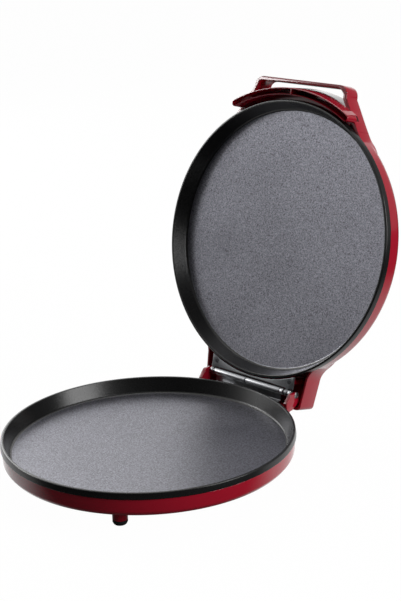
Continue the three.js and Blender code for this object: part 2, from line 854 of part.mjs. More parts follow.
function lidShell() {
  const outside = turned(lidSection(0, lidShellBottom));
  const inside = turned(lidSection(shellWall, -overrun));
  const cover = roundedPrism(coverPlan(0), lidShellBottom, coverTop, coverEdgeRound, loopSegments);
  const hollow = prism(coverPlan(coverWall), -overrun, coverTop - coverWall, loopSegments);
  const seamShift = gap / Math.sin(toRadians(seamAngle));
  const roots = loopBlock().subtract(frontWedge(seamAngle, seamShift));
  let body = outside.add(cover).add(roots).subtract(inside);
  body = body.subtract(hollow.subtract(outside));
  const bossBottom = lidPlateRise + lidPlateWall + gap;
  for (const side of [-1, 1]) {
    const x = side * lidScrewX;
    body = body.add(postZ(x, lidScrewY, lidBossRadius, bossBottom, coverTop - coverWall / 2));
    body = body.subtract(postZ(x, lidScrewY, screwRadius + screwClearance, 0,
      lidPlateRise + lidScrewLength + gap));
    body = body.subtract(handleScrewBore(side * handleScrewAngle, shellRadius + overrun));
    body = body.subtract(postZ(side * lampX, lampY, lampRadius + gap, 0, lidCrown + overrun));
    body = body.subtract(rodY(side * elementEndX, lidEdgeCentre, upperLeadEnd, elementDepth,
      leadRadius + 2 * gap, leadSegments));
  }
  const innerTrim = turned(lidSection(shellWall / 2, -overrun));
  const shoulder = reflectorDepth + reflectorWall + gap;
  for (const angle of bossAngles) {
    const [x, y] = around(bossCircleRadius, -angle);
    const bottom = panUnderside + bossHeight + gap;
    const post = postZ(x, y, bossRadius, bottom, lidCrown)
      .add(postZ(x, y, shoulderRadius, shoulder, lidCrown));
    body = body.add(post.intersect(innerTrim));
    body = body.subtract(postZ(x, y, studRadius + gap, 0, bottom + studLength));
  }
  return body;
}

// A radial hole for a handle screw, from inside the lid out to a radius
function handleScrewBore(angle, end) {
  return rodY(0, -end, -lidEdgeCentre, handleScrewHeight, screwRadius + screwClearance)
    .rotate(0, 0, angle);
}

function handle() {
  const clear = turned(lidSection(-gap, -overrun)).add(turned([
    [0, -overrun], [skirtRadius + gap, -overrun], [skirtRadius + gap, lidShellBottom],
    [0, lidShellBottom],
  ]));
  const loopHole = prism(loopPlan(earWall, barThickness), -apronDrop, 2 * lidCrown, loopSegments);
  let body = loopBlock().subtract(loopHole);
  const ring = turned([
    [lidEdgeCentre, lidShellBottom],
    [apronInnerRadius, lidShellBottom],
    [apronInnerRadius, -apronDrop],
    [apronOuterRadius, -apronDrop],
    [apronTopRadius, handleTop - apronWall],
    [apronTopRadius - apronWall, handleTop],
    [lidEdgeCentre, handleTop],
    [lidEdgeCentre, lidShellBottom],
  ], apronSegments);
  const apron = ring.intersect(frontWedge(apronAngle, 0));
  const apronMiddle = (apronInnerRadius + apronOuterRadius) / 2;
  const apronHalf = (apronOuterRadius - apronInnerRadius) / 2;
  let brow = apron;
  for (const side of [-1, 1]) {
    const [x, y] = around(apronMiddle, -90 + side * apronAngle);
    brow = brow.add(postZ(x, y, apronHalf, -apronDrop, lidShellBottom + apronWall));
  }
  const outsideLoop = slab(lidShellBottom + apronWall, handleTop + overrun).subtract(loopBlock());
  body = body.add(brow.subtract(outsideLoop));
  body = body.subtract(apronCavity(apronMiddle, apronHalf - apronWall));
  body = body.subtract(clear);
  for (const side of [-1, 1]) {
    body = body.subtract(handleScrewBore(side * handleScrewAngle, handleScrewEnd + gap));
  }
  return body.intersect(frontWedge(seamAngle, 0));
}

// The crescent hollow under the apron, split by a rib in its middle
function apronCavity(middle, half) {
  const ring = turned([
    [middle - half, -apronDrop - overrun],
    [middle + half, -apronDrop - overrun],
    [middle + half, cavityHeight],
    [middle - half, cavityHeight],
    [middle - half, -apronDrop - overrun],
  ], apronSegments);
  let body = ring.intersect(frontWedge(apronAngle, 0));
  for (const side of [-1, 1]) {
    const [x, y] = around(middle, -90 + side * apronAngle);
    body = body.add(postZ(x, y, half, -apronDrop - overrun, cavityHeight));
  }
  return body.subtract(box(-ribWidth / 2, ribWidth / 2, -handleReach, 0,
    -2 * apronDrop, 2 * cavityHeight));
}

function handleScrew(angle) {
  return panHeadScrew(handleScrewHead, handleScrewEnd - handleScrewSeat)
    .rotate(90, 0, 0)
    .translate(0, -handleScrewSeat, handleScrewHeight)
    .rotate(0, 0, angle);
}

// The steel strip under the hinge cover that carries the lid on the pin
function lidHingeBracket() {
  const top = lidPlateRise + lidPlateWall;
  let body = box(-lidPlateHalf, lidPlateHalf, 0, hingeY - lidPlateSetback, lidPlateRise, top);
  body = body.subtract(postZ(0, 0, skirtRadius + 2 * gap, 0, 2 * top, roundSegments));
  for (const x of [leftKnuckleX, rightKnuckleX]) {
    const [x0, x1] = [x - knuckleWidth / 2, x + knuckleWidth / 2];
    body = body.add(box(x0, x1, lidScrewY, hingeY, lidPlateRise, top));
    body = body.add(rodX(x0, x1, hingeY, closedHingeZ, knuckleRadius));
    body = body.subtract(rodX(x0 - overrun, x1 + overrun, hingeY, closedHingeZ, knuckleBore));
  }
  for (const side of [-1, 1]) {
    const sink = turned([
      [0, lidPlateRise - overrun],
      [sunkHeadRadius + sinkClearance, lidPlateRise - overrun],
      [sunkHeadRadius + sinkClearance, lidPlateRise],
      [screwRadius + sinkClearance, lidPlateRise + sunkHeadRadius - screwRadius],
      [screwRadius + sinkClearance, 2 * top],
      [0, 2 * top],
    ], smallSegments);
    body = body.subtract(sink.translate(side * lidScrewX, lidScrewY, 0));
  }
  return body;
}

// An indicator lamp: a lens through the lid with its holder below
function lamp() {
  const lensTop = lidCrown - lampLensDrop;
  const flangeTop = lensTop - lampLensHeight;
  return turned([
    [0, flangeTop - lampBody],
    [lampRadius - gap, flangeTop - lampBody],
    [lampRadius - gap, flangeTop - lampFlangeWall],
    [lampFlange, flangeTop - lampFlangeWall],
    [lampFlange, flangeTop],
    [lampRadius, flangeTop],
    [lampRadius, lensTop - gap],
    [lampRadius - 2 * gap, lensTop],
    [0, lensTop],
  ], smallSegments);
}

const base = new THREE.Group();
const lid = new THREE.Group();

base.add(mesh('base_shell', baseShell(), redPlastic));
base.add(mesh('lower_pan', lowerPan(), nonStick));
base.add(mesh('lower_element', element(-1).translate(0, 0, lipHeight), elementSteel));
base.add(mesh('lower_reflector', reflector(-1), foil));
base.add(mesh('thermostat', thermostat(), whiteCeramic));
base.add(mesh('thermal_fuse', thermalFuse(), brightSteel));
base.add(mesh('terminal_block', terminalBlock(), whiteCeramic));
base.add(mesh('cord_gland', cordGland(), rubber));
base.add(mesh('base_hinge_bracket', baseHingeBracket(), blackSteel));
base.add(mesh('hinge_pin', hingePin(), brightSteel));
base.add(mesh('hinge_pin_clip', pinClip(), brightSteel));
washerSpans().forEach(([x0, x1], k) => {
  base.add(mesh(`hinge_washer_${k + 1}`, ringX(x0, x1, washerRadius), brightSteel));
});

const footNames = ['front_left', 'front_right', 'rear_left', 'rear_right'];
footPlaces().forEach(([x, y], k) => {
  const pad = mesh(`foot_pad_${footNames[k]}`, footPad(), rubber);
  pad.position.set(x, y, 0);
  base.add(pad);
});

bossAngles.forEach((angle, k) => {
  const length = lipHeight - panUnderside - baseScrewSeat - gap;
  const screw = mesh(`base_screw_${k + 1}`, panHeadScrew(screwHeadRadius, length), brightSteel);
  screw.position.set(...around(bossCircleRadius, angle), baseScrewSeat - gap);
  base.add(screw);
});

shelfScrewPlaces().forEach(([x, y], k) => {
  const body = panHeadScrew(shelfScrewHead, shelfScrewLength);
  const screw = mesh(`bracket_screw_${k + 1}`, body, brightSteel);
  screw.rotation.x = Math.PI;
  screw.position.set(x, y, bracketFootTop + gap);
  base.add(screw);
});

clipAngles.forEach((angle, k) => {
  for (const [group, side, name] of [[base, -1, 'lower'], [lid, 1, 'upper']]) {
    const clip = mesh(`${name}_element_clip_${k + 1}`, elementClip(), brightSteel);
    clip.rotation.set(side > 0 ? Math.PI : 0, 0, toRadians(angle), 'ZYX');
    const height = side * elementDepth + (side < 0 ? lipHeight : 0);
    clip.position.set(...around(elementRing, angle), height);
    group.add(clip);
  }
});

// Fixed leads from the terminal block to the thermostat
[-1, 1].forEach((side) => {
  const name = side < 0 ? 'thermostat_lead_left' : 'thermostat_lead_right';
  const lead = rodY(side * leadX, thermostatRadius + gap, blockY - blockDepth / 2 - gap,
    reflectorFloor + blockHeight / 2, leadRadius, leadSegments);
  base.add(mesh(name, lead, sleeve));
});

lid.add(mesh('lid_shell', lidShell(), redPlastic));
lid.add(mesh('handle', handle(), redPlastic));
lid.add(mesh('upper_pan', upperPan(), nonStick));
lid.add(mesh('upper_element', element(1), elementSteel));
lid.add(mesh('upper_reflector', reflector(1), foil));
lid.add(mesh('lid_hinge_bracket', lidHingeBracket(), blackSteel));

[-1, 1].forEach((side) => {
  const name = side < 0 ? 'left' : 'right';
  const lidScrew = mesh(`lid_bracket_screw_${name}`, countersunkScrew(lidScrewLength), blackSteel);
  lidScrew.position.set(side * lidScrewX, lidScrewY, lidPlateRise);
  lid.add(lidScrew);
  lid.add(mesh(`handle_screw_${name}`, handleScrew(side * handleScrewAngle), brightSteel));
  const lead = rodY(side * elementEndX, elementEndY + coldPinLength + gap, upperLeadEnd,
    elementDepth, leadRadius, leadSegments);
  lid.add(mesh(`upper_lead_${name}`, lead, sleeve));
});

const powerLamp = mesh('power_lamp', lamp(), redLens);
powerLamp.position.set(-lampX, lampY, 0);
const readyLamp = mesh('ready_lamp', lamp(), greenLens);
readyLamp.position.set(lampX, lampY, 0);
lid.add(powerLamp, readyLamp);

// The lid turns about the pin: closed it faces the base across the lip gap
const pivot = new THREE.Group();
pivot.position.set(0, hingeY, hingeZ);
pivot.rotation.x = -toRadians(openAngle);
lid.position.set(0, -hingeY, lipGap - hingeRise);
pivot.add(lid);

// The part's origin is the middle of its bounding box, on the ground
const assembly = new THREE.Group();
assembly.add(base, pivot);
const bounds = new THREE.Box3().setFromObject(assembly, true);
assembly.position.set(0, -(bounds.min.y + bounds.max.y) / 2, -bounds.min.z);

const part = new THREE.Group();
part.add(assembly);
export default part;
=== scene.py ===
# Electric pizza maker with its lid open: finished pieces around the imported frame.
# Sizes are in millimetres unless a name or a comment says otherwise. Base pieces are
# drawn round the lower pan's axis, lid pieces closed, round the upper pan's axis.
import json
from math import cos, pi, radians, sin, sqrt, tan

import bpy
from mathutils import Matrix, Vector


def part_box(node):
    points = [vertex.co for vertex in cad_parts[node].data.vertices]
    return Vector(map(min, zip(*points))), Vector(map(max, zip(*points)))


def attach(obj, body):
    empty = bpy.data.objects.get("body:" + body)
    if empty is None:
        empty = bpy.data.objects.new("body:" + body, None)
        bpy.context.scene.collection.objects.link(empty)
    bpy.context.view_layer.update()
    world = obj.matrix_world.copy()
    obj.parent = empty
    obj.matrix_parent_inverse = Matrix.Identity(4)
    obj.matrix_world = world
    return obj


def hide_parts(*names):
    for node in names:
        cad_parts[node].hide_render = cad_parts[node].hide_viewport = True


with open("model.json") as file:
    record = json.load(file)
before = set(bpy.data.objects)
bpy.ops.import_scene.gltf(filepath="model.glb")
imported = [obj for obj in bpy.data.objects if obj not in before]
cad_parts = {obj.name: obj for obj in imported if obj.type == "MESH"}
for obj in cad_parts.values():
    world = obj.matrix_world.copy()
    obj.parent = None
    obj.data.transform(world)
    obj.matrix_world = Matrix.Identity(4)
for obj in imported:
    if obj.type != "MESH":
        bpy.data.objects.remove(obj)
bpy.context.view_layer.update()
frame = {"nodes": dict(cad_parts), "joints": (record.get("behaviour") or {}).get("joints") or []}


# Camera: stands where the photograph was taken from, in front of the object,
# to its right and a little above the open lid. Its place is in metres.
photo_height = 601
focal_pixels = 1432.8
sensor_height = 36
camera_place = Vector((1.01568, -1.01560, 0.63860))
camera_right = Vector((0.72207, 0.69116, -0.03020))
camera_up = Vector((-0.19326, 0.24343, 0.95047))

camera_data = bpy.data.cameras.new("photo_camera")
camera_data.sensor_fit = "VERTICAL"
camera_data.sensor_height = sensor_height
camera_data.lens = sensor_height * focal_pixels / photo_height
camera = bpy.data.objects.new("photo_camera", camera_data)
bpy.context.scene.collection.objects.link(camera)
turn = Matrix((camera_right, camera_up, camera_right.cross(camera_up))).transposed()
camera.matrix_world = Matrix.Translation(camera_place) @ turn.to_4x4()
bpy.context.scene.camera = camera


# Studio: a bright room, darker in front and on the right. The camera and clear
# lenses see plain white, reflections see the room, and its softer light falls on
# the object. Four square lamps light it, the one in front for reflections alone.
# Their sizes and places are in metres.
room_light = 0.12
room_glow = 1.35
white = (1, 1, 1, 1)
front_side, front_span, front_share = (0.3, -0.7, -0.65), (0.05, 0.36), 0.07
right_side, right_span, right_share = (1, 0, 0), (-0.35, 0.15), 0.3
object_middle = Vector((0, 0, 0.15))
lamp_size, front_lamp_size = 1.2, 0.9
lamp_table = (
    ("front_light", (-2.2, -1.25, 1.15), front_lamp_size, 34),
    ("left_light", (-1.9, 0.5, 1.1), lamp_size, 17),
    ("right_light", (2.1, 0.5, 1.0), lamp_size, 38),
    ("top_light", (-0.4, 0.6, 2.2), lamp_size, 10),
)


def fading(nodes, links, place, span, first, last, direction=None):
    """A value that goes from first to last over a span, along a direction or outwards."""
    along = nodes.new("ShaderNodeVectorMath")
    along.operation = "DOT_PRODUCT" if direction else "LENGTH"
    if direction:
        along.inputs[1].default_value = direction
    links.new(place, along.inputs[0])
    fade = nodes.new("ShaderNodeMapRange")
    fade.interpolation_type = "SMOOTHSTEP"
    for socket, value in zip(("From Min", "From Max", "To Min", "To Max"), (*span, first, last)):
        fade.inputs[socket].default_value = value
    links.new(along.outputs["Value"], fade.inputs["Value"])
    return fade.outputs["Result"]


def worked(nodes, links, operation, *values):
    """A Math node between sockets or plain values."""
    math = nodes.new("ShaderNodeMath")
    math.operation = operation
    for socket, value in zip(math.inputs, values):
        if isinstance(value, (int, float)):
            socket.default_value = value
        else:
            links.new(value, socket)
    return math.outputs[0]


world = bpy.data.worlds.new("studio")
bpy.context.scene.world = world
world.use_nodes = True
nodes, links = world.node_tree.nodes, world.node_tree.links
nodes.clear()
path = nodes.new("ShaderNodeLightPath").outputs
place = nodes.new("ShaderNodeTexCoord").outputs["Generated"]
front_fade = fading(nodes, links, place, front_span, room_glow, front_share, front_side)
right_fade = fading(nodes, links, place, right_span, 1, right_share, right_side)
room = worked(nodes, links, "MULTIPLY", front_fade, right_fade)
level = worked(nodes, links, "MULTIPLY_ADD", path["Is Glossy Ray"], 1 - room_light, room_light)
lit = worked(nodes, links, "MULTIPLY", level, room)
seen = worked(nodes, links, "MAXIMUM", path["Is Camera Ray"], path["Is Transmission Ray"])
walls = nodes.new("ShaderNodeBackground")
walls.inputs["Color"].default_value = white
links.new(worked(nodes, links, "MAXIMUM", seen, lit), walls.inputs["Strength"])
surface = nodes.new("ShaderNodeOutputWorld")
links.new(walls.outputs[0], surface.inputs["Surface"])


def soft_box(name, place, size, watts):
    """A square lamp that faces the object's middle."""
    lamp = bpy.data.lights.new(name, "AREA")
    lamp.size = size
    lamp.energy = watts
    box = bpy.data.objects.new(name, lamp)
    bpy.context.scene.collection.objects.link(box)
    aim = (Vector(place) - object_middle).to_track_quat("Z", "Y")
    box.matrix_world = Matrix.Translation(place) @ aim.to_matrix().to_4x4()
    return box


lamps = {name: soft_box(name, *rest) for name, *rest in lamp_table}
lamps["front_light"].visible_diffuse = False


# Floor: a wide sheet of white board. The camera sees it almost white, with a faint
# shadow under the object. Reflections see it bright beside the object, and dark in
# the shadow before it and further away. Its size and spans are in metres.
floor_size = 14
floor_share = 0.93
floor_glow = 1.06
floor_gloss = 1.05
floor_dark = 0.05
paper_colour = (0.25, 0.25, 0.25, 1)
shadow_side, shadow_span = (0.72, -0.7, 0), (0.1, 0.18)
bright_span = (0.3, 0.8)

bpy.ops.object.select_all(action="DESELECT")
bpy.ops.mesh.primitive_plane_add(size=floor_size)
floor = bpy.context.object
floor.name = "floor"
board = bpy.data.materials.new("white_board")
board.use_nodes = True
nodes, links = board.node_tree.nodes, board.node_tree.links
nodes.clear()
paper = nodes.new("ShaderNodeBsdfDiffuse")
paper.inputs["Color"].default_value = paper_colour
glow = nodes.new("ShaderNodeEmission")
path = nodes.new("ShaderNodeLightPath").outputs
place = nodes.new("ShaderNodeTexCoord").outputs["Object"]
shadow = fading(nodes, links, place, shadow_span, 1, floor_dark, shadow_side)
bright = fading(nodes, links, place, bright_span, floor_gloss, floor_dark)
mirrored = worked(nodes, links, "MULTIPLY", shadow, bright)
mirrored = worked(nodes, links, "MULTIPLY", path["Is Glossy Ray"], mirrored)
strength = worked(nodes, links, "MULTIPLY_ADD", path["Is Camera Ray"], floor_glow, mirrored)
links.new(strength, glow.inputs["Strength"])
share = worked(nodes, links, "MULTIPLY_ADD", path["Is Camera Ray"], floor_share,
               path["Is Glossy Ray"])
either = nodes.new("ShaderNodeMixShader")
links.new(share, either.inputs[0])
links.new(paper.outputs[0], either.inputs[1])
links.new(glow.outputs[0], either.inputs[2])
surface = nodes.new("ShaderNodeOutputMaterial")
links.new(either.outputs[0], surface.inputs["Surface"])
floor.data.materials.append(board)

bpy.context.scene.view_settings.view_transform = "Standard"


# Pans: two die-cast aluminium plates from one mould, with a rolled lip and a
# skirt, coated in dark grey non-stick with a fine sparkle. Bosses below take
# four screws, and on the upper pan they carry studs that press into the lid.
MM = 0.001
weld_distance = 0.002
edge_angle = radians(32)
round_steps = 200
small_steps = 40
pan_section = [
    (0, -17.4, 0), (146.1, -17.4, 3.4), (151.9, 0, 0.9), (154.7, 0, 1.1), (155.7, -6.8, 0.6),
    (153.8, -6.8, 0.5), (153.2, -2.8, 0.3), (148.8, -17.4, 2), (145.8, -19.4, 1.5), (0, -19.4, 0),
]
pan_boss = [(0, -18.4, 0), (4.5, -18.4, 0), (4.5, -22.6, 0.5), (0, -22.6, 0)]
pan_stud = [(0, -22, 0), (2.4, -22, 0), (2.4, -26.1, 0.6), (0, -26.1, 0)]
boss_ring = 126
boss_angles = (40, 140, 220, 320)
lip_height = 45
floor_level, level_slack = -17.4, 0.1
facing_up = 0.9
hinge_reach = 163.3
hinge_above_lip = 4.2
closed_gap = 0.4
speckle_span, patch_span = (0.3, 0.7), (0.35, 0.65)
dent_height_m, patch_size_m = 0.0003, 0.06
colour_ends, colour_result = (6, 7), 2
half_turn = Matrix.Rotation(pi, 4, "X")


def softened(corners, ring=False, steps=6):
    """Corners (x, y, radius) as a line of points, each corner rounded to its radius."""
    line = []
    for i, (x, y, radius) in enumerate(corners):
        here = Vector((x, y))
        if radius == 0 or (not ring and i in (0, len(corners) - 1)):
            line.append(here)
            continue
        back = Vector(corners[i - 1][:2]) - here
        ahead = Vector(corners[(i + 1) % len(corners)][:2]) - here
        half = back.angle(ahead) / 2
        reach = min(radius / tan(half), back.length / 2, ahead.length / 2)
        middle = (back.normalized() + ahead.normalized()).normalized() * (reach / cos(half))
        start = back.normalized() * reach - middle
        end = ahead.normalized() * reach - middle
        sweep = pi - 2 * half
        for k in range(steps + 1):
            share = k / steps
            arc = start * sin((1 - share) * sweep) + end * sin(share * sweep)
            line.append(here + middle + arc / sin(sweep))
    if ring:
        line.append(line[0])
    return line


def drawn(name, points):
    """A line drawn from point to point, left selected in edit mode."""
    bpy.ops.object.select_all(action="DESELECT")
    bpy.ops.mesh.primitive_plane_add(size=MM)
    piece = bpy.context.object
    piece.name = name
    bpy.ops.object.mode_set(mode="EDIT")
    bpy.ops.mesh.merge(type="CENTER")
    bpy.ops.transform.translate(value=points[0] * MM)
    for start, end in zip(points, points[1:]):
        bpy.ops.mesh.extrude_vertices_move(TRANSFORM_OT_translate={"value": (end - start) * MM})
    bpy.ops.mesh.select_all(action="SELECT")
    return piece


def welded():
    """Ends edit mode on a closed skin whose faces point outwards."""
    bpy.ops.mesh.select_all(action="SELECT")
    bpy.ops.mesh.remove_doubles(threshold=weld_distance * MM)
    bpy.ops.mesh.normals_make_consistent(inside=False)
    bpy.ops.object.mode_set(mode="OBJECT")


def turned(name, section, ring=False, steps=round_steps):
    """A section of (radius, height, rounding) corners, spun round the Z axis."""
    line = softened(section, ring)
    piece = drawn(name, [Vector((p.x, 0, p.y)) for p in line])
    bpy.ops.mesh.spin(steps=steps, angle=2 * pi, center=(0, 0, 0), axis=(0, 0, 1), use_auto_merge=True)
    welded()
    return piece


def at_angle(radius, degrees):
    return Vector((radius * cos(radians(degrees)), radius * sin(radians(degrees)), 0))


def combined(piece, tool, operation):
    """Adds the tool's solid to the piece's, takes it away, or keeps what they share."""
    modifier = piece.modifiers.new("combined", "BOOLEAN")
    modifier.operation = operation
    modifier.solver = "MANIFOLD"
    modifier.object = tool
    bpy.ops.object.select_all(action="DESELECT")
    bpy.context.view_layer.objects.active = piece
    bpy.ops.object.modifier_apply(modifier=modifier.name)
    bpy.data.objects.remove(tool)
    piece.data.materials.clear()
    return piece


def gathered(pieces):
    """Several solids that stay clear of each other, as one object."""
    bpy.ops.object.select_all(action="DESELECT")
    for piece in pieces:
        piece.select_set(True)
    bpy.context.view_layer.objects.active = pieces[0]
    bpy.ops.object.join()
    return bpy.context.object


def moved(piece, offset):
    """The piece carried by an offset in millimetres, with its place in its mesh."""
    piece.data.transform(Matrix.Translation(Vector(offset) * MM))
    return piece


def settled(piece, place):
    """The piece at its place in the frame, smooth everywhere but at its edges."""
    piece.matrix_world = place
    bpy.ops.object.select_all(action="DESELECT")
    piece.select_set(True)
    bpy.context.view_layer.objects.active = piece
    bpy.ops.object.transform_apply(location=True, rotation=True, scale=True)
    bpy.ops.object.shade_smooth_by_angle(angle=edge_angle)
    return piece


def value_group(name, given_names, made):
    """A node group that takes values, and puts out the sockets named with their types."""
    group = bpy.data.node_groups.new(name, "ShaderNodeTree")
    for given_name in given_names:
        group.interface.new_socket(given_name, in_out="INPUT", socket_type="NodeSocketFloat")
    for made_name, kind in made.items():
        group.interface.new_socket(made_name, in_out="OUTPUT", socket_type=kind)
    given = group.nodes.new("NodeGroupInput").outputs
    return group, given, group.nodes.new("NodeGroupOutput").inputs


def noise_in(group, size, span, detail, roughness):
    """Noise of a size in metres, raw and spread from a span to between 0 and 1."""
    nodes, links = group.nodes, group.links
    noise = nodes.new("ShaderNodeTexNoise")
    noise.inputs["Detail"].default_value = detail
    noise.inputs["Roughness"].default_value = roughness
    links.new(nodes.new("ShaderNodeTexCoord").outputs["Object"], noise.inputs["Vector"])
    links.new(worked(nodes, links, "DIVIDE", 1, size), noise.inputs["Scale"])
    spread = nodes.new("ShaderNodeMapRange")
    spread.inputs["From Min"].default_value, spread.inputs["From Max"].default_value = span
    links.new(noise.outputs["Fac"], spread.inputs["Value"])
    return noise.outputs["Fac"], spread


def grain_group():
    """Fine random grain: a speckle between 0 and 1, and a normal that it dents."""
    made = {"Speckle": "NodeSocketFloat", "Normal": "NodeSocketVector"}
    group, given, result = value_group("fine_grain", ("Size", "Depth"), made)
    noise, spread = noise_in(group, given["Size"], speckle_span, detail=3, roughness=0.6)
    dent = group.nodes.new("ShaderNodeBump")
    dent.inputs["Distance"].default_value = dent_height_m
    group.links.new(given["Depth"], dent.inputs["Strength"])
    group.links.new(noise, dent.inputs["Height"])
    group.links.new(spread.outputs["Result"], result["Speckle"])
    group.links.new(dent.outputs["Normal"], result["Normal"])
    return group


def patch_group():
    """Broad soft patches between two values, as handling and moulding leave them."""
    group, given, result = value_group("soft_patches", ("Size", "Low", "High"),
                                       {"Value": "NodeSocketFloat"})
    noise, spread = noise_in(group, given["Size"], patch_span, detail=2, roughness=0.5)
    group.links.new(given["Low"], spread.inputs["To Min"])
    group.links.new(given["High"], spread.inputs["To Max"])
    group.links.new(spread.outputs["Result"], result["Value"])
    return group


fine_grain = grain_group()
soft_patches = patch_group()


def with_group(nodes, group, values):
    """A group placed in a material with its own values."""
    node = nodes.new("ShaderNodeGroup")
    node.node_tree = group
    for socket, value in values.items():
        node.inputs[socket].default_value = value
    return node


def grained(name, sockets, dark, light, grain_m, depth, rough):
    """A finish speckled between two colours, dented finely, its roughness in patches."""
    finish = bpy.data.materials.new(name)
    finish.use_nodes = True
    nodes, links = finish.node_tree.nodes, finish.node_tree.links
    shader = nodes["Principled BSDF"].inputs
    for socket, value in sockets.items():
        shader[socket].default_value = value
    grain = with_group(nodes, fine_grain, {"Size": grain_m, "Depth": depth})
    patches = with_group(
        nodes, soft_patches, {"Size": patch_size_m, "Low": rough[0], "High": rough[1]})
    mix = nodes.new("ShaderNodeMix")
    mix.data_type = "RGBA"
    links.new(grain.outputs["Speckle"], mix.inputs["Factor"])
    for end, colour in zip(colour_ends, (dark, light)):
        mix.inputs[end].default_value = (*colour, 1)
    links.new(mix.outputs[colour_result], shader["Base Color"])
    links.new(grain.outputs["Normal"], shader["Normal"])
    links.new(patches.outputs["Value"], shader["Roughness"])
    return finish


floor_coat = grained(
    "non_stick_floor", {"Metallic": 0.9},
    dark=(0.05, 0.05, 0.056), light=(0.25, 0.25, 0.285),
    grain_m=0.0014, depth=0.35, rough=(0.31, 0.36))
# The wall's coat is the same non-stick made near black: painted shade where the walls and outside turn
# from the light.
wall_coat_painted_shade = grained(
    "non_stick_wall_painted_shade", {"IOR": 1.45, "Specular IOR Level": 0.42},
    dark=(0.007, 0.007, 0.007), light=(0.013, 0.013, 0.013),
    grain_m=0.0011, depth=0.12, rough=(0.22, 0.28))

lower_low, lower_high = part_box("lower_pan")
base_place = Matrix.Translation((0, (lower_low.y + lower_high.y) / 2, 0))
open_angle = radians(frame["joints"][0]["range_deg"][1])
lid_place = (
    Matrix.Translation(frame["joints"][0]["pos_m"])
    @ Matrix.Rotation(-open_angle, 4, "X")
    @ Matrix.Translation((0, -hinge_reach * MM, (closed_gap - hinge_above_lip) * MM))
)


def around_bosses(section, name):
    """Four copies of a turned piece, one below each boss."""
    copies = []
    for angle in boss_angles:
        copies.append(moved(turned(name, section, steps=small_steps), at_angle(boss_ring, angle)))
    return gathered(copies)


def coated(pan):
    """The pan with its textured floor apart from its smooth wall and outside, which take a near-black
    copy of the coating as painted shade.
    """
    for coat in (wall_coat_painted_shade, floor_coat):
        pan.data.materials.append(coat)
    for face in pan.data.polygons:
        level = abs(face.center.z / MM - floor_level) < level_slack
        face.material_index = int(level and face.normal.z > facing_up)


for name, body in (("lower_pan", "base"), ("upper_pan", "lid")):
    pan = turned(f"{name}_casting", pan_section)
    combined(pan, around_bosses(pan_boss, "bosses"), "UNION")
    if body == "base":
        coated(pan)
        moved(pan, (0, 0, lip_height))
        settled(pan, base_place)
    else:
        combined(pan, around_bosses(pan_stud, "studs"), "UNION")
        coated(pan)
        pan.data.transform(half_turn)
        settled(pan, lid_place)
    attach(pan, body)
    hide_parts(name)


# Base shell: one glossy red moulding with a low belly, a wall that reaches up to
# the pan's skirt, four foot posts, two hinge ears with a shelf between them, and
# a round boss for the cord. Screws go up through four counterbored posts.
base_section = [
    (0, 13, 0), (131, 13, 14), (150.6, 19.7, 3), (153.7, 23.6, 5), (154.4, 37.9, 0.5),
    (152.4, 37.9, 0.5), (151.8, 24.4, 5), (148.6, 21.4, 3), (131, 15, 14), (0, 15, 0),
]
foot_places = ((-70, -109), (70, -109), (-70, 126), (70, 126))
foot_post = [(0, 5.3, 0), (7.7, 5.3, 0.5), (7.7, 20.5, 0), (0, 20.5, 0)]
ear_inner, ear_outer, ear_edge = 62, 66.6, 0.7
ear_side = [
    (138.2, 37.6, 0), (146, 37.6, 1), (146, 44, 2), (154, 52.8, 2.5), (168, 51.9, 3),
    (168, 40.8, 3), (157, 34.8, 4), (138.2, 30.4, 0),
]
shelf_low, shelf_high = 32, 35.7
shelf_overlap, shelf_back, shelf_radius = 1, 160, 153.4
hinge_height = lip_height + hinge_above_lip
gland_height = 19.5
cord_boss_section = [(0, 150, 0), (9.5, 150, 0), (9.5, 154.6, 0.6), (0, 154.6, 0)]
cord_hole_section = [(0, 140, 0), (4.9, 140, 0), (4.9, 160, 0), (0, 160, 0)]
screw_post = [(0, 14, 0), (6.4, 14, 0), (6.4, 15.8, 0), (4.5, 15.8, 0), (4.5, 22.1, 0), (0, 22.1, 0)]
screw_bore = [(0, 8, 0), (3.3, 8, 0), (3.3, 15.1, 0), (1.8, 15.1, 0), (1.8, 27, 0), (0, 27, 0)]
pin_bore = [
    (0, -75, 0), (3.9, -75, 0), (3.9, -64.8, 0), (2.5, -64.8, 0), (2.5, 64.8, 0), (3.9, 64.8, 0),
    (3.9, 75, 0), (0, 75, 0),
]
along_x = Matrix.Rotation(pi / 2, 4, "Y")
along_y = Matrix.Rotation(-pi / 2, 4, "X")
side_to_x = Matrix(((0, 0, 1, 0), (1, 0, 0, 0), (0, 1, 0, 0), (0, 0, 0, 1)))
easing_angle = radians(50)


def raised(name, outline, bottom, top, steps=6):
    """An outline of (x, y, rounding) corners, raised from bottom to top."""
    line = softened(outline, True, steps)[:-1]
    piece = drawn(name, [Vector((p.x, p.y, bottom)) for p in line])
    bpy.ops.mesh.edge_face_add()
    rise = (0, 0, (top - bottom) * MM)
    bpy.ops.mesh.extrude_region_move(TRANSFORM_OT_translate={"value": rise})
    welded()
    return piece


def eased(piece, radius, steps=3):
    """The piece with its sharp edges rounded."""
    modifier = piece.modifiers.new("eased", "BEVEL")
    modifier.width = radius * MM
    modifier.segments = steps
    modifier.limit_method = "ANGLE"
    modifier.angle_limit = easing_angle
    bpy.context.view_layer.objects.active = piece
    bpy.ops.object.modifier_apply(modifier=modifier.name)
    return piece


def side_plate(name, side_view, x_from, x_to, radius):
    """A plate whose side view is an outline in (y, z), between two values of x."""
    plate = raised(name, side_view, x_from, x_to)
    plate.data.transform(side_to_x)
    return eased(plate, radius)


def copies_at(places, name, section):
    """Copies of a turned piece at places (x, y)."""
    return [moved(turned(name, section, steps=small_steps), (x, y, 0)) for x, y in places]


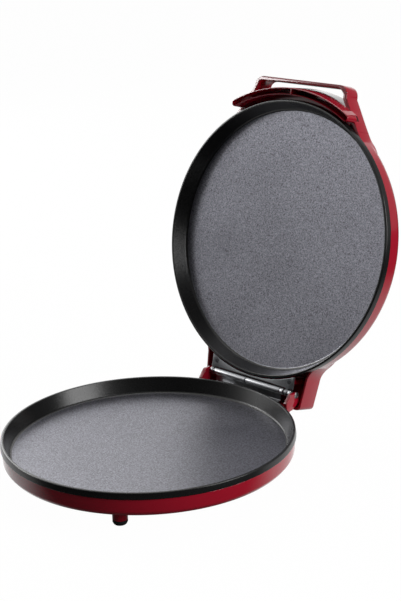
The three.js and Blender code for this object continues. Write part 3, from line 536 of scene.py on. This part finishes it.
def arc_front(left, right, radius, back):
    """The outline of a strip behind a round wall, from that wall back to a straight edge."""
    corners = [(right, back, 0), (left, back, 0)]
    for k in range(small_steps + 1):
        x = left + (right - left) * k / small_steps
        corners.append((x, sqrt(radius ** 2 - x ** 2), 0))
    return corners


red_plastic = grained(
    "glossy_red_plastic", {"Coat Weight": 0.2, "Coat Roughness": 0.05, "Specular IOR Level": 0.4},
    dark=(0.39, 0.006, 0.022), light=(0.42, 0.008, 0.026),
    grain_m=0.0012, depth=0.015, rough=(0.12, 0.18))

base_shell = turned("base_shell_moulding", base_section)
added = copies_at(foot_places, "post", foot_post)
for start, end in ((ear_inner, ear_outer), (-ear_outer, -ear_inner)):
    added.append(side_plate("ear", ear_side, start, end, ear_edge))
added.append(around_bosses(screw_post, "screw_posts"))
combined(base_shell, gathered(added), "UNION")
shelf_half = ear_inner + shelf_overlap
shelf_plan = arc_front(-shelf_half, shelf_half, shelf_radius, shelf_back)
shelf = raised("shelf", shelf_plan, shelf_low, shelf_high)
cord_boss = turned("cord_boss", cord_boss_section, steps=small_steps)
cord_boss.data.transform(along_y)
moved(cord_boss, (0, 0, gland_height))
combined(base_shell, gathered([shelf, cord_boss]), "UNION")
pin_hole = turned("pin_hole", pin_bore, steps=small_steps)
pin_hole.data.transform(along_x)
moved(pin_hole, (0, hinge_reach, hinge_height))
cord_hole = turned("cord_hole", cord_hole_section, steps=small_steps)
cord_hole.data.transform(along_y)
moved(cord_hole, (0, 0, gland_height))
combined(base_shell, gathered([pin_hole, cord_hole, around_bosses(screw_bore, "bores")]),
         "DIFFERENCE")
settled(base_shell, base_place)
base_shell.data.materials.append(red_plastic)
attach(base_shell, "base")
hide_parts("base_shell")


# Feet: four black rubber pads pushed onto the ends of the foot posts, domed
# at their lower edge. Their matt skin shows the mould's fine grain.
pad_section = [(0, 0, 0), (6.2, 0, 2.2), (7.7, 3, 1.5), (7.7, 5, 0.3), (0, 5, 0)]
pad_names = ("front_left", "front_right", "rear_left", "rear_right")

rubber = grained(
    "black_rubber", {"Specular IOR Level": 0.35},
    dark=(0.008, 0.008, 0.009), light=(0.018, 0.018, 0.019),
    grain_m=0.0011, depth=0.4, rough=(0.55, 0.7))
for (x, y), name in zip(foot_places, pad_names):
    pad = moved(turned(f"pad_{name}", pad_section, steps=small_steps), (x, y, 0))
    settled(pad, base_place)
    pad.data.materials.append(rubber)
    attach(pad, "base")
    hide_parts(f"foot_pad_{name}")


# Lid shell: the glossy red upper moulding, with a rounded edge, a shallow crown,
# a box behind that covers the hinge, and the roots of the handle in front. Posts
# inside take the hinge bracket's screws and the upper pan's studs.
shell_radius, shell_wall = 154.4, 2
lid_bottom, lid_crown = 7.1, 39
edge_middle, edge_height, edge_round, edge_sweep = 142.4, 18.5, 12, 80
edge_steps, crown_steps, curve_steps = 14, 24, 14
cover_top, cover_wall = 32.5, 2.4
cover_round, cover_low_round, hollow_round = 3, 0.5, 1
cover_half, cover_reach, cover_corner, cover_bow = 71.5, 179.8, 6, 2.4
cover_taper, cover_flare, cover_start, cover_bend = 3, 84, 129.55, 9
cover_tuck, cover_tuck_pull = (125, 35), 2
handle_half, handle_front, handle_corner = 66, -177.5, 13
handle_top, handle_round, handle_low_round = 29.8, 5, 0.6
loop_lean, loop_pull, loop_foot = 8, 11.5, 10
root_place, root_pull, root_tuck = (96, -120.93), (5.48, 4.35), (143, -38)
seam_angle, seam_gap = 34, 0.3
cutter_reach, cutter_low, cutter_high = 200, -40, 60
lid_screw_places = ((-54.5, 151), (54.5, 151))
lid_post = [(0, 3.8, 0), (3.9, 3.8, 0.4), (3.9, 31.3, 0), (0, 31.3, 0)]
lid_post_bore = [(0, 0, 0), (1.8, 0, 0), (1.8, 13.8, 0), (0, 13.8, 0)]
stud_post = [(0, -31.6, 0), (6.4, -31.6, 0), (6.4, -29.2, 0), (4.5, -29.2, 0), (4.5, -22.9, 0),
             (0, -22.9, 0)]
stud_bore = [(0, -26.4, 0), (2.7, -26.4, 0), (2.7, -20, 0), (0, -20, 0)]
hole_radius = 1.8
handle_screw_angles, handle_screw_height = (-15, 15), 21.6
handle_screw_span = (142.4, 154.9)
lamp_places = ((-9, -139.2), (9, -139.2))
lamp_hole = [(0, 25, 0), (3.3, 25, 0), (3.3, 45, 0), (0, 45, 0)]
lead_places, lead_height, lead_span = (-15, 15), 23, (142.4, 157)


def lid_line(inset, bottom):
    """Half the lid's section, drawn in by an inset, from the middle out and back."""
    line = [(0, bottom, 0), (shell_radius - inset, bottom, 0)]
    for k in range(edge_steps + 1):
        across = at_angle(edge_round - inset, edge_sweep * k / edge_steps)
        line.append((edge_middle + across.x, edge_height + across.y, 0))
    radius, height = line[-1][:2]
    for k in range(1, crown_steps + 1):
        share = 1 - k / crown_steps
        crown = lid_crown - inset
        line.append((radius * share, crown - (crown - height) * share ** 2, 0))
    return line


def curved(*guides):
    """Points of the curve that its guides lead, after its first."""
    points = []
    for k in range(1, curve_steps + 1):
        line = [Vector(guide) for guide in guides]
        while len(line) > 1:
            line = [a.lerp(b, k / curve_steps) for a, b in zip(line, line[1:])]
        points.append((line[0].x, line[0].y, 0))
    return points


def both_sides(half):
    """An outline whose left side mirrors the right side given."""
    return half + [(-x, y, radius) for x, y, radius in reversed(half)]


def cover_outline(inset):
    """The plan of the hinge cover: a box that flares out into the dome."""
    half, reach = cover_half - inset, cover_reach - inset
    wide = half + cover_taper
    bend = Vector((wide, cover_start + cover_bend))
    flare = Vector((cover_flare - inset, cover_start - inset))
    tuck = at_angle(cover_tuck[0] - inset, cover_tuck[1])
    side = [(0, 0, 0), (tuck.x, tuck.y, 0)]
    side += curved(tuck.xy, flare + cover_tuck_pull * (flare - bend), flare)
    side += curved(flare, bend, (wide, cover_start + 2 * cover_bend))
    side.append((half, reach - cover_corner, 0))
    end = (half - cover_corner, reach + cover_bow / 4)
    side += curved(side[-1][:2], (half, reach), end)
    back = curved(end, (0, reach + 2 * cover_bow), (-end[0], end[1]))
    side += [point for point in back if point[0] > weld_distance]
    return both_sides(side)[:-1]


def loop_outline(side_inset, front_inset, back=0):
    """The plan of the handle's loop, its roots led into the dome."""
    half, front = handle_half - side_inset, handle_front + front_inset
    corner = handle_corner - side_inset / 2
    root = (root_place[0] - side_inset, root_place[1])
    guide = (root[0] - root_pull[0], root[1] - root_pull[1])
    tuck_guide = (root[0] + 2 * root_pull[0], root[1] + 2 * root_pull[1])
    tuck = at_angle(root_tuck[0] - side_inset, root_tuck[1])
    side = [(half - corner, front, 0)]
    side += curved(side[-1][:2], (half, front), (half, front + corner))
    side += curved(side[-1][:2], (half + loop_lean, front + corner + loop_pull), guide, root)
    side += curved(root, tuck_guide, (tuck.x, tuck.y))
    side.append((loop_foot, back, 0))
    return both_sides(side)


def rounded_rim(piece, height, radius, steps=6):
    """The piece with its edges at one height rounded."""
    bpy.ops.object.select_all(action="DESELECT")
    piece.select_set(True)
    bpy.context.view_layer.objects.active = piece
    bpy.ops.object.mode_set(mode="EDIT")
    bpy.ops.mesh.select_mode(type="EDGE")
    bpy.ops.mesh.select_all(action="DESELECT")
    bpy.ops.object.mode_set(mode="OBJECT")
    points = piece.data.vertices
    for edge in piece.data.edges:
        edge.select = all(abs(points[v].co.z / MM - height) < weld_distance for v in edge.vertices)
    bpy.ops.object.mode_set(mode="EDIT")
    bpy.ops.mesh.bevel(offset=radius * MM, segments=steps)
    bpy.ops.mesh.select_mode(type="VERT")
    bpy.ops.object.mode_set(mode="OBJECT")
    return piece


def loop_block(name):
    """The loop and its roots in one, not yet cut open."""
    block = raised(name, loop_outline(0, 0), lid_bottom, handle_top)
    rounded_rim(block, handle_top, handle_round)
    return rounded_rim(block, lid_bottom, handle_low_round, steps=2)


def front_wedge(name, angle, shift):
    """The wedge in front that lies within an angle of the middle."""
    half = (cutter_reach + shift) * tan(radians(angle))
    plan = [(0, shift, 0), (-half, -cutter_reach, 0), (half, -cutter_reach, 0)]
    return raised(name, plan, cutter_low, cutter_high)


def hole_along_y(name, start, end, x, z):
    """A round cutter along Y, from start to end."""
    section = [(0, start, 0), (hole_radius, start, 0), (hole_radius, end, 0), (0, end, 0)]
    hole = turned(name, section, steps=small_steps)
    hole.data.transform(along_y)
    return moved(hole, (x, 0, z))


def handle_screw_hole(angle, start, end):
    """A cutter for a handle screw, at an angle from the front's middle."""
    hole = hole_along_y("handle_screw_hole", -end, -start, 0, handle_screw_height)
    hole.data.transform(Matrix.Rotation(radians(angle), 4, "Z"))
    return hole


lid_shell = turned("lid_shell_moulding", lid_line(0, lid_bottom))
cover = raised("cover", cover_outline(0), lid_bottom, cover_top)
rounded_rim(cover, cover_top, cover_round)
rounded_rim(cover, lid_bottom, cover_low_round, steps=2)
combined(lid_shell, cover, "UNION")
shift = seam_gap / sin(radians(seam_angle))
roots = combined(loop_block("roots"), front_wedge("wedge", seam_angle, shift), "DIFFERENCE")
combined(lid_shell, roots, "UNION")
combined(lid_shell, turned("inside", lid_line(shell_wall, 0)), "DIFFERENCE")
hollow = raised("hollow", cover_outline(cover_wall), 0, cover_top - cover_wall)
rounded_rim(hollow, cover_top - cover_wall, hollow_round)
combined(hollow, turned("outside", lid_line(0, lid_bottom)), "DIFFERENCE")
combined(lid_shell, hollow, "DIFFERENCE")
stud_posts = around_bosses(stud_post, "stud_posts")
stud_posts.data.transform(half_turn)
posts = copies_at(lid_screw_places, "post", lid_post) + [stud_posts]
combined(lid_shell, gathered(posts), "UNION")
stud_bores = around_bosses(stud_bore, "stud_bores")
stud_bores.data.transform(half_turn)
holes = copies_at(lid_screw_places, "bore", lid_post_bore) + [stud_bores]
holes += copies_at(lamp_places, "lamp_hole", lamp_hole)
holes += [hole_along_y("lead_hole", *lead_span, x, lead_height) for x in lead_places]
holes += [handle_screw_hole(angle, *handle_screw_span) for angle in handle_screw_angles]
combined(lid_shell, gathered(holes), "DIFFERENCE")
settled(lid_shell, lid_place)
lid_shell.data.materials.append(red_plastic)
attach(lid_shell, "lid")
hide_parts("lid_shell")


# Handle: a second red moulding, screwed to the lid's front from inside. Its loop
# runs on from the lid's roots, and below it hangs an apron with rounded ends,
# hollow from below on both sides of a rib.
loop_side_bar, loop_front_bar, loop_hole_back = 4.6, 4, 20
loop_hole_low, handle_edge = -10, 0.7
apron_angle, apron_middle, apron_top = 29, 163.4, 8.3
apron_section = [
    (142.4, 7.1, 0), (159.5, 7.1, 0), (159.5, -8, 0.9), (167.3, -8, 1.2), (170.5, 28.8, 1.2),
    (169.3, 30, 0.8), (142.4, 30, 0),
]
apron_end = [(0, -8, 0), (3.9, -8, 1), (3.9, 8.3, 0), (0, 8.3, 0)]
cavity_section = [
    (159.9, -9, 0), (160.7, -7.5, 0), (160.7, 16, 1), (166.1, 16, 1), (166.1, -7.5, 0),
    (166.9, -9, 0),
]
cavity_end = [(0, -9, 0), (3.5, -9, 0), (2.7, -7.5, 0), (2.7, 16, 1), (0, 16, 0)]
rib_plan = [(-0.75, -180, 0), (0.75, -180, 0), (0.75, -140, 0), (-0.75, -140, 0)]
rib_low, rib_high = -20, 30
dome_gap, dome_bottom = 0.3, 5
below_dome = [(0, -9, 0), (156, -9, 0), (156, 7.1, 0), (0, 7.1, 0)]
handle_bore_span = (140, 162.3)


def swept(name, section, angle):
    """A closed section of corners, swept round the front to both sides."""
    line = softened(section, True)
    piece = drawn(name, [Vector((p.x, 0, p.y)) for p in line])
    bpy.ops.mesh.spin(steps=round_steps // 2, angle=radians(2 * angle), center=(0, 0, 0),
                      axis=(0, 0, 1))
    bpy.ops.mesh.select_all(action="SELECT")
    bpy.ops.mesh.remove_doubles(threshold=weld_distance * MM)
    bpy.ops.mesh.fill_holes(sides=0)
    welded()
    piece.data.transform(Matrix.Rotation(radians(angle - 90), 4, "Z"))
    return piece


def apron_ends(section):
    """A round piece at each end of the apron."""
    places = [at_angle(apron_middle, side * apron_angle - 90) for side in (-1, 1)]
    return copies_at([place.xy for place in places], "end", section)


handle = loop_block("handle_moulding")
loop_hole = loop_outline(loop_side_bar, loop_front_bar, loop_hole_back)
combined(handle, raised("loop_hole", loop_hole, loop_hole_low, cutter_high), "DIFFERENCE")
eased(handle, handle_edge, steps=2)
brow = swept("apron", apron_section, apron_angle)
combined(brow, gathered(apron_ends(apron_end)), "UNION")
sides = ((-1, -1), (1, -1), (1, 1), (-1, 1))
outside_plan = [(cutter_reach * x, cutter_reach * y, 0) for x, y in sides]
outside_loop = raised("outside_loop", outside_plan, apron_top, cutter_high)
combined(outside_loop, loop_block("loop"), "DIFFERENCE")
combined(brow, outside_loop, "DIFFERENCE")
combined(handle, brow, "UNION")
cavity = swept("cavity", cavity_section, apron_angle)
combined(cavity, gathered(apron_ends(cavity_end)), "UNION")
combined(cavity, raised("rib", rib_plan, rib_low, rib_high), "DIFFERENCE")
combined(handle, cavity, "DIFFERENCE")
combined(handle, turned("dome", lid_line(-dome_gap, dome_bottom)), "DIFFERENCE")
combined(handle, turned("below", below_dome), "DIFFERENCE")
bores = [handle_screw_hole(angle, *handle_bore_span) for angle in handle_screw_angles]
combined(handle, gathered(bores), "DIFFERENCE")
combined(handle, front_wedge("wedge", seam_angle, 0), "INTERSECT")
settled(handle, lid_place)
handle.data.materials.append(red_plastic)
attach(handle, "lid")
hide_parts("handle")


# Hinge bracket on the base: black painted steel, rolled at its back into two long
# barrels round the pin, with a web down to a foot on the shell's shelf. Its colour is
# painted paler than the lid bracket's, as painted light on the barrels.
barrel_spans = ((-54, -7.3), (-6.7, 43.4))
bracket_span = (barrel_spans[0][0], barrel_spans[1][1])
bracket_front, bracket_back = 154.7, 161
barrel_radius, barrel_edge = 4.1, 0.7
barrel_bore, barrel_bore_span = 2.5, (-60, 50)
foot_low, foot_high = 36, 37.6
web_edge = 0.3
web_side = [
    (155, 36, 0), (164.1, 36, 1.8), (164.1, 49.2, 0), (162.5, 49.2, 0), (162.5, 37.6, 0.9),
    (155, 37.6, 0),
]
shelf_screw_places = ((-30, 155.9), (30, 155.9))
shelf_screw_hole = [(0, 30, 0), (1.8, 30, 0), (1.8, 40, 0), (0, 40, 0)]


def along_hinge(piece):
    """A piece turned on the Z axis, laid along the hinge of the base."""
    piece.data.transform(along_x)
    return moved(piece, (0, hinge_reach, hinge_height))


def rod(name, radius, start, end, edge):
    """A turned rod whose two ends have rounded edges."""
    section = [(0, start, 0), (radius, start, edge), (radius, end, edge), (0, end, 0)]
    return turned(name, section, steps=small_steps)


# A paler copy of the black painted steel: painted light on the barrels.
barrel_steel_painted_light = grained(
    "barrel_steel_painted_light", {"Metallic": 0.9, "Coat Weight": 0.5, "Coat Roughness": 0.08},
    dark=(0.17, 0.173, 0.181), light=(0.26, 0.264, 0.275),
    grain_m=0.0012, depth=0.05, rough=(0.26, 0.36))

foot_plan = arc_front(*bracket_span, bracket_front, bracket_back)
bracket = raised("base_bracket", foot_plan, foot_low, foot_high)
combined(bracket, side_plate("web", web_side, *bracket_span, web_edge), "UNION")
barrels = [along_hinge(rod("barrel", barrel_radius, *span, barrel_edge)) for span in barrel_spans]
combined(bracket, gathered(barrels), "UNION")
holes = [along_hinge(rod("pin_hole", barrel_bore, *barrel_bore_span, 0))]
holes += copies_at(shelf_screw_places, "hole", shelf_screw_hole)
combined(bracket, gathered(holes), "DIFFERENCE")
settled(bracket, base_place)
bracket.data.materials.append(barrel_steel_painted_light)
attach(bracket, "base")
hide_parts("base_hinge_bracket")


# Pin: a bright steel rod right through ears, barrels and knuckles, headed at its
# left end and kept at the right by a pressed ring. Four washers take up the play.
pin_section = [
    (0, -66.4, 0), (3.6, -66.4, 0.6), (3.6, -65.1, 0.2), (2.2, -65.1, 0), (2.2, 66.4, 0.6),
    (0, 66.4, 0),
]
ring_bore = 2.5
clip_radius, clip_span, clip_edge = 3.6, (65.1, 66.4), 0.4
washer_radius, washer_edge = 3.7, 0.35
washer_spans = ((-61.7, -60.3), (-55.7, -54.3), (43.7, 48.1), (55.3, 59.1))


def ring(name, radius, start, end, edge):
    """A ring round the pin, its bore's edges eased half as much as its outer ones."""
    section = [(ring_bore, start, edge / 2), (radius, start, edge), (radius, end, edge),
               (ring_bore, end, edge / 2)]
    return turned(name, section, True, steps=small_steps)


bright_steel = grained(
    "bright_steel", {"Metallic": 1},
    dark=(0.28, 0.28, 0.29), light=(0.40, 0.40, 0.41),
    grain_m=0.0009, depth=0.04, rough=(0.22, 0.36))

pin_pieces = [(turned("pin", pin_section, steps=small_steps), "hinge_pin")]
pin_pieces.append((ring("pin_ring", clip_radius, *clip_span, clip_edge), "hinge_pin_clip"))
for k, span in enumerate(washer_spans, 1):
    washer = ring(f"washer_{k}", washer_radius, *span, washer_edge)
    pin_pieces.append((washer, f"hinge_washer_{k}"))
for piece, node in pin_pieces:
    settled(along_hinge(piece), base_place)
    piece.data.materials.append(bright_steel)
    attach(piece, "base")
    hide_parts(node)


# Hinge bracket on the lid: a strip of black painted steel under the cover, with
# a knuckle at each end that turns on the pin, and holes sunk for its screws.
plate_half, plate_front, plate_back, plate_edge = 61, 156.3, 158.3, 0.35
plate_low, plate_high = 1.5, 3.5
knuckle_places = (-58, 53)
knuckle_radius, knuckle_half, knuckle_edge = 4.3, 2, 0.5
knuckle_bore, knuckle_bore_half = 2.6, 70
tab_front, tab_edge = 151, 0.2
pin_above_lid = hinge_above_lip - closed_gap
sink = [(0, 1, 0), (3.2, 1, 0), (3.2, 1.5, 0), (1.8, 2.9, 0), (1.8, 5, 0), (0, 5, 0)]


def on_pin(piece):
    """A piece turned on the Z axis, laid along the hinge of the closed lid."""
    piece.data.transform(along_x)
    return moved(piece, (0, hinge_reach, pin_above_lid))


black_steel = grained(
    "black_painted_steel", {"Metallic": 0.75, "Coat Weight": 0.5, "Coat Roughness": 0.08},
    dark=(0.085, 0.087, 0.092), light=(0.14, 0.143, 0.15),
    grain_m=0.0012, depth=0.05, rough=(0.26, 0.36))

plate_plan = arc_front(-plate_half, plate_half, plate_front, plate_back)
lid_bracket = raised("lid_bracket", plate_plan, plate_low, plate_high)
eased(lid_bracket, plate_edge)
tab_side = [(tab_front, plate_low, 0), (hinge_reach, plate_low, 0), (hinge_reach, plate_high, 0),
            (tab_front, plate_high, 0)]
spans = [(x - knuckle_half, x + knuckle_half) for x in knuckle_places]
tabs = [side_plate("tab", tab_side, *span, tab_edge) for span in spans]
combined(lid_bracket, gathered(tabs), "UNION")
knuckles = [on_pin(rod("knuckle", knuckle_radius, *span, knuckle_edge)) for span in spans]
combined(lid_bracket, gathered(knuckles), "UNION")
holes = [on_pin(rod("pin_hole", knuckle_bore, -knuckle_bore_half, knuckle_bore_half, 0))]
holes += copies_at(lid_screw_places, "sink", sink)
combined(lid_bracket, gathered(holes), "DIFFERENCE")
settled(lid_bracket, lid_place)
lid_bracket.data.materials.append(black_steel)
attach(lid_bracket, "lid")
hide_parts("lid_hinge_bracket")


# Screws: blackened steel with cross recesses. Two sunk ones hold the lid's
# bracket, pan-headed ones the base's bracket, the lower pan and the handle.
thread_radius, thread_chamfer, tip_height = 1.5, 0.5, 0.7
head_height, head_round, head_edge = 1.8, 1.1, 0.3
sunk_head = [(thread_radius, -1.4, 0), (2.9, 0, 0.2), (0, 0, 0)]
recess_arm, recess_width, recess_depth, recess_rise = 1.7, 0.42, 1.1, 1
pan_screw_seat, pan_screw_head, pan_screw_length = 14.8, 3, 10.2
shelf_screw_seat, shelf_screw_head, shelf_screw_length = 37.9, 2.6, 5
handle_screw_seat, handle_screw_head, handle_screw_length = -150.1, 2.4, 11.9
lid_screw_length = 12

dark_screw = grained(
    "blackened_screw", {"Metallic": 1},
    dark=(0.045, 0.045, 0.05), light=(0.085, 0.085, 0.09),
    grain_m=0.0007, depth=0.1, rough=(0.3, 0.42))


def screw(name, head, length):
    """A screw along Z, its thread down from 0 and its head's section above."""
    shaft = [(0, -length, 0), (thread_radius - thread_chamfer, -length, 0),
             (thread_radius, tip_height - length, 0)]
    piece = turned(name, shaft + head, steps=small_steps)
    top = head[-1][1]
    a, w = recess_arm, recess_width
    arms = ((w, a), (-w, a), (-w, w), (-a, w), (-a, -w), (-w, -w), (-w, -a), (w, -a), (w, -w),
            (a, -w), (a, w), (w, w))
    recess = raised("recess", [(x, y, 0) for x, y in arms], top - recess_depth, top + recess_rise)
    return combined(piece, recess, "DIFFERENCE")


def pan_head(radius):
    return [(thread_radius, 0, 0), (radius, 0, head_edge), (radius, head_height, head_round),
            (0, head_height, 0)]


def at(x, y, z):
    """A place in millimetres, as a matrix."""
    return Matrix.Translation(Vector((x, y, z)) * MM)


screws = []
for k, angle in enumerate(boss_angles, 1):
    place = base_place @ at(*at_angle(boss_ring, angle).xy, pan_screw_seat) @ half_turn
    head = pan_head(pan_screw_head)
    screws.append((f"base_screw_{k}", head, pan_screw_length, place, "base"))
for k, (x, y) in enumerate(shelf_screw_places, 1):
    place = base_place @ at(x, y, shelf_screw_seat)
    head = pan_head(shelf_screw_head)
    screws.append((f"bracket_screw_{k}", head, shelf_screw_length, place, "base"))
for side, (x, y), angle in zip(("left", "right"), lid_screw_places, handle_screw_angles):
    place = lid_place @ at(x, y, plate_low) @ half_turn
    screws.append((f"lid_bracket_screw_{side}", sunk_head, lid_screw_length, place, "lid"))
    turn = Matrix.Rotation(radians(angle), 4, "Z")
    place = lid_place @ turn @ at(0, handle_screw_seat, handle_screw_height) @ along_y
    head = pan_head(handle_screw_head)
    screws.append((f"handle_screw_{side}", head, handle_screw_length, place, "lid"))
for node, head, length, place, body in screws:
    piece = settled(screw(f"{node}_steel", head, length), place)
    piece.data.materials.append(dark_screw)
    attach(piece, body)
    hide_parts(node)


# Lamps: two clear tinted lenses in the lid's crown, red for power and green for
# ready, each with its holder moulded below.
lamp_section = [
    (0, 21.4, 0), (2.7, 21.4, 0.3), (2.7, 26.2, 0), (4.5, 26.2, 0.3), (4.5, 27.4, 0.3),
    (3, 27.4, 0.2), (3, 31.6, 0.9), (0, 31.6, 0),
]
lenses = (
    ("power_lamp", "red", (0.42, 0.01, 0.015), (0.5, 0.02, 0.02)),
    ("ready_lamp", "green", (0.02, 0.22, 0.05), (0.03, 0.3, 0.07)),
)
for (x, y), (name, colour, dark, light) in zip(lamp_places, lenses):
    lens_finish = grained(
        f"{colour}_lens", {"Transmission Weight": 0.45, "IOR": 1.49},
        dark=dark, light=light,
        grain_m=0.003, depth=0, rough=(0.08, 0.14))
    lamp = moved(turned(f"{name}_lens", lamp_section, steps=small_steps), (x, y, 0))
    settled(lamp, lid_place)
    lamp.data.materials.append(lens_finish)
    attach(lamp, "lid")
    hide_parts(name)


# Cord gland: a black rubber collar in the boss at the back, with a round flange
# outside. It holds the mouth of the cord's hole.
gland_section = [
    (3.4, 146, 0.3), (4.6, 146, 0.5), (4.6, 154.9, 0), (7, 154.9, 0.3), (7, 156.9, 0.9),
    (3.4, 156.9, 0.6),
]
gland = turned("gland_collar", gland_section, True, steps=small_steps)
gland.data.transform(along_y)
moved(gland, (0, 0, gland_height))
settled(gland, base_place)
gland.data.materials.append(rubber)
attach(gland, "base")
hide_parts("cord_gland")


# Inside: ring heaters under straps, bright trays, the thermostat, its fuse and the
# terminal block, with sleeved leads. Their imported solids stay, in finished skins.
heater_steel = grained(
    "heater_steel", {"Metallic": 1},
    dark=(0.19, 0.16, 0.13), light=(0.31, 0.28, 0.25),
    grain_m=0.004, depth=0.05, rough=(0.38, 0.5))
tray_foil = grained(
    "tray_foil", {"Metallic": 1},
    dark=(0.66, 0.66, 0.67), light=(0.76, 0.76, 0.77),
    grain_m=0.003, depth=0.06, rough=(0.2, 0.32))
ceramic = grained(
    "white_ceramic", {},
    dark=(0.62, 0.60, 0.56), light=(0.72, 0.70, 0.66),
    grain_m=0.0014, depth=0.15, rough=(0.35, 0.5))
sleeve = grained(
    "woven_sleeve", {},
    dark=(0.44, 0.41, 0.36), light=(0.62, 0.59, 0.53),
    grain_m=0.0008, depth=0.5, rough=(0.7, 0.85))
skins = {
    heater_steel: ("lower_element", "upper_element"),
    tray_foil: ("lower_reflector", "upper_reflector"),
    ceramic: ("thermostat", "terminal_block"),
    sleeve: ("thermostat_lead_left", "thermostat_lead_right", "upper_lead_left", "upper_lead_right"),
    bright_steel: ["thermal_fuse"] + [f"{side}_element_clip_{k}" for side in ("lower", "upper")
                                      for k in (1, 2, 3)],
}
for skin, names in skins.items():
    for name in names:
        for holder in frame["nodes"][name].material_slots:
            holder.material = skin
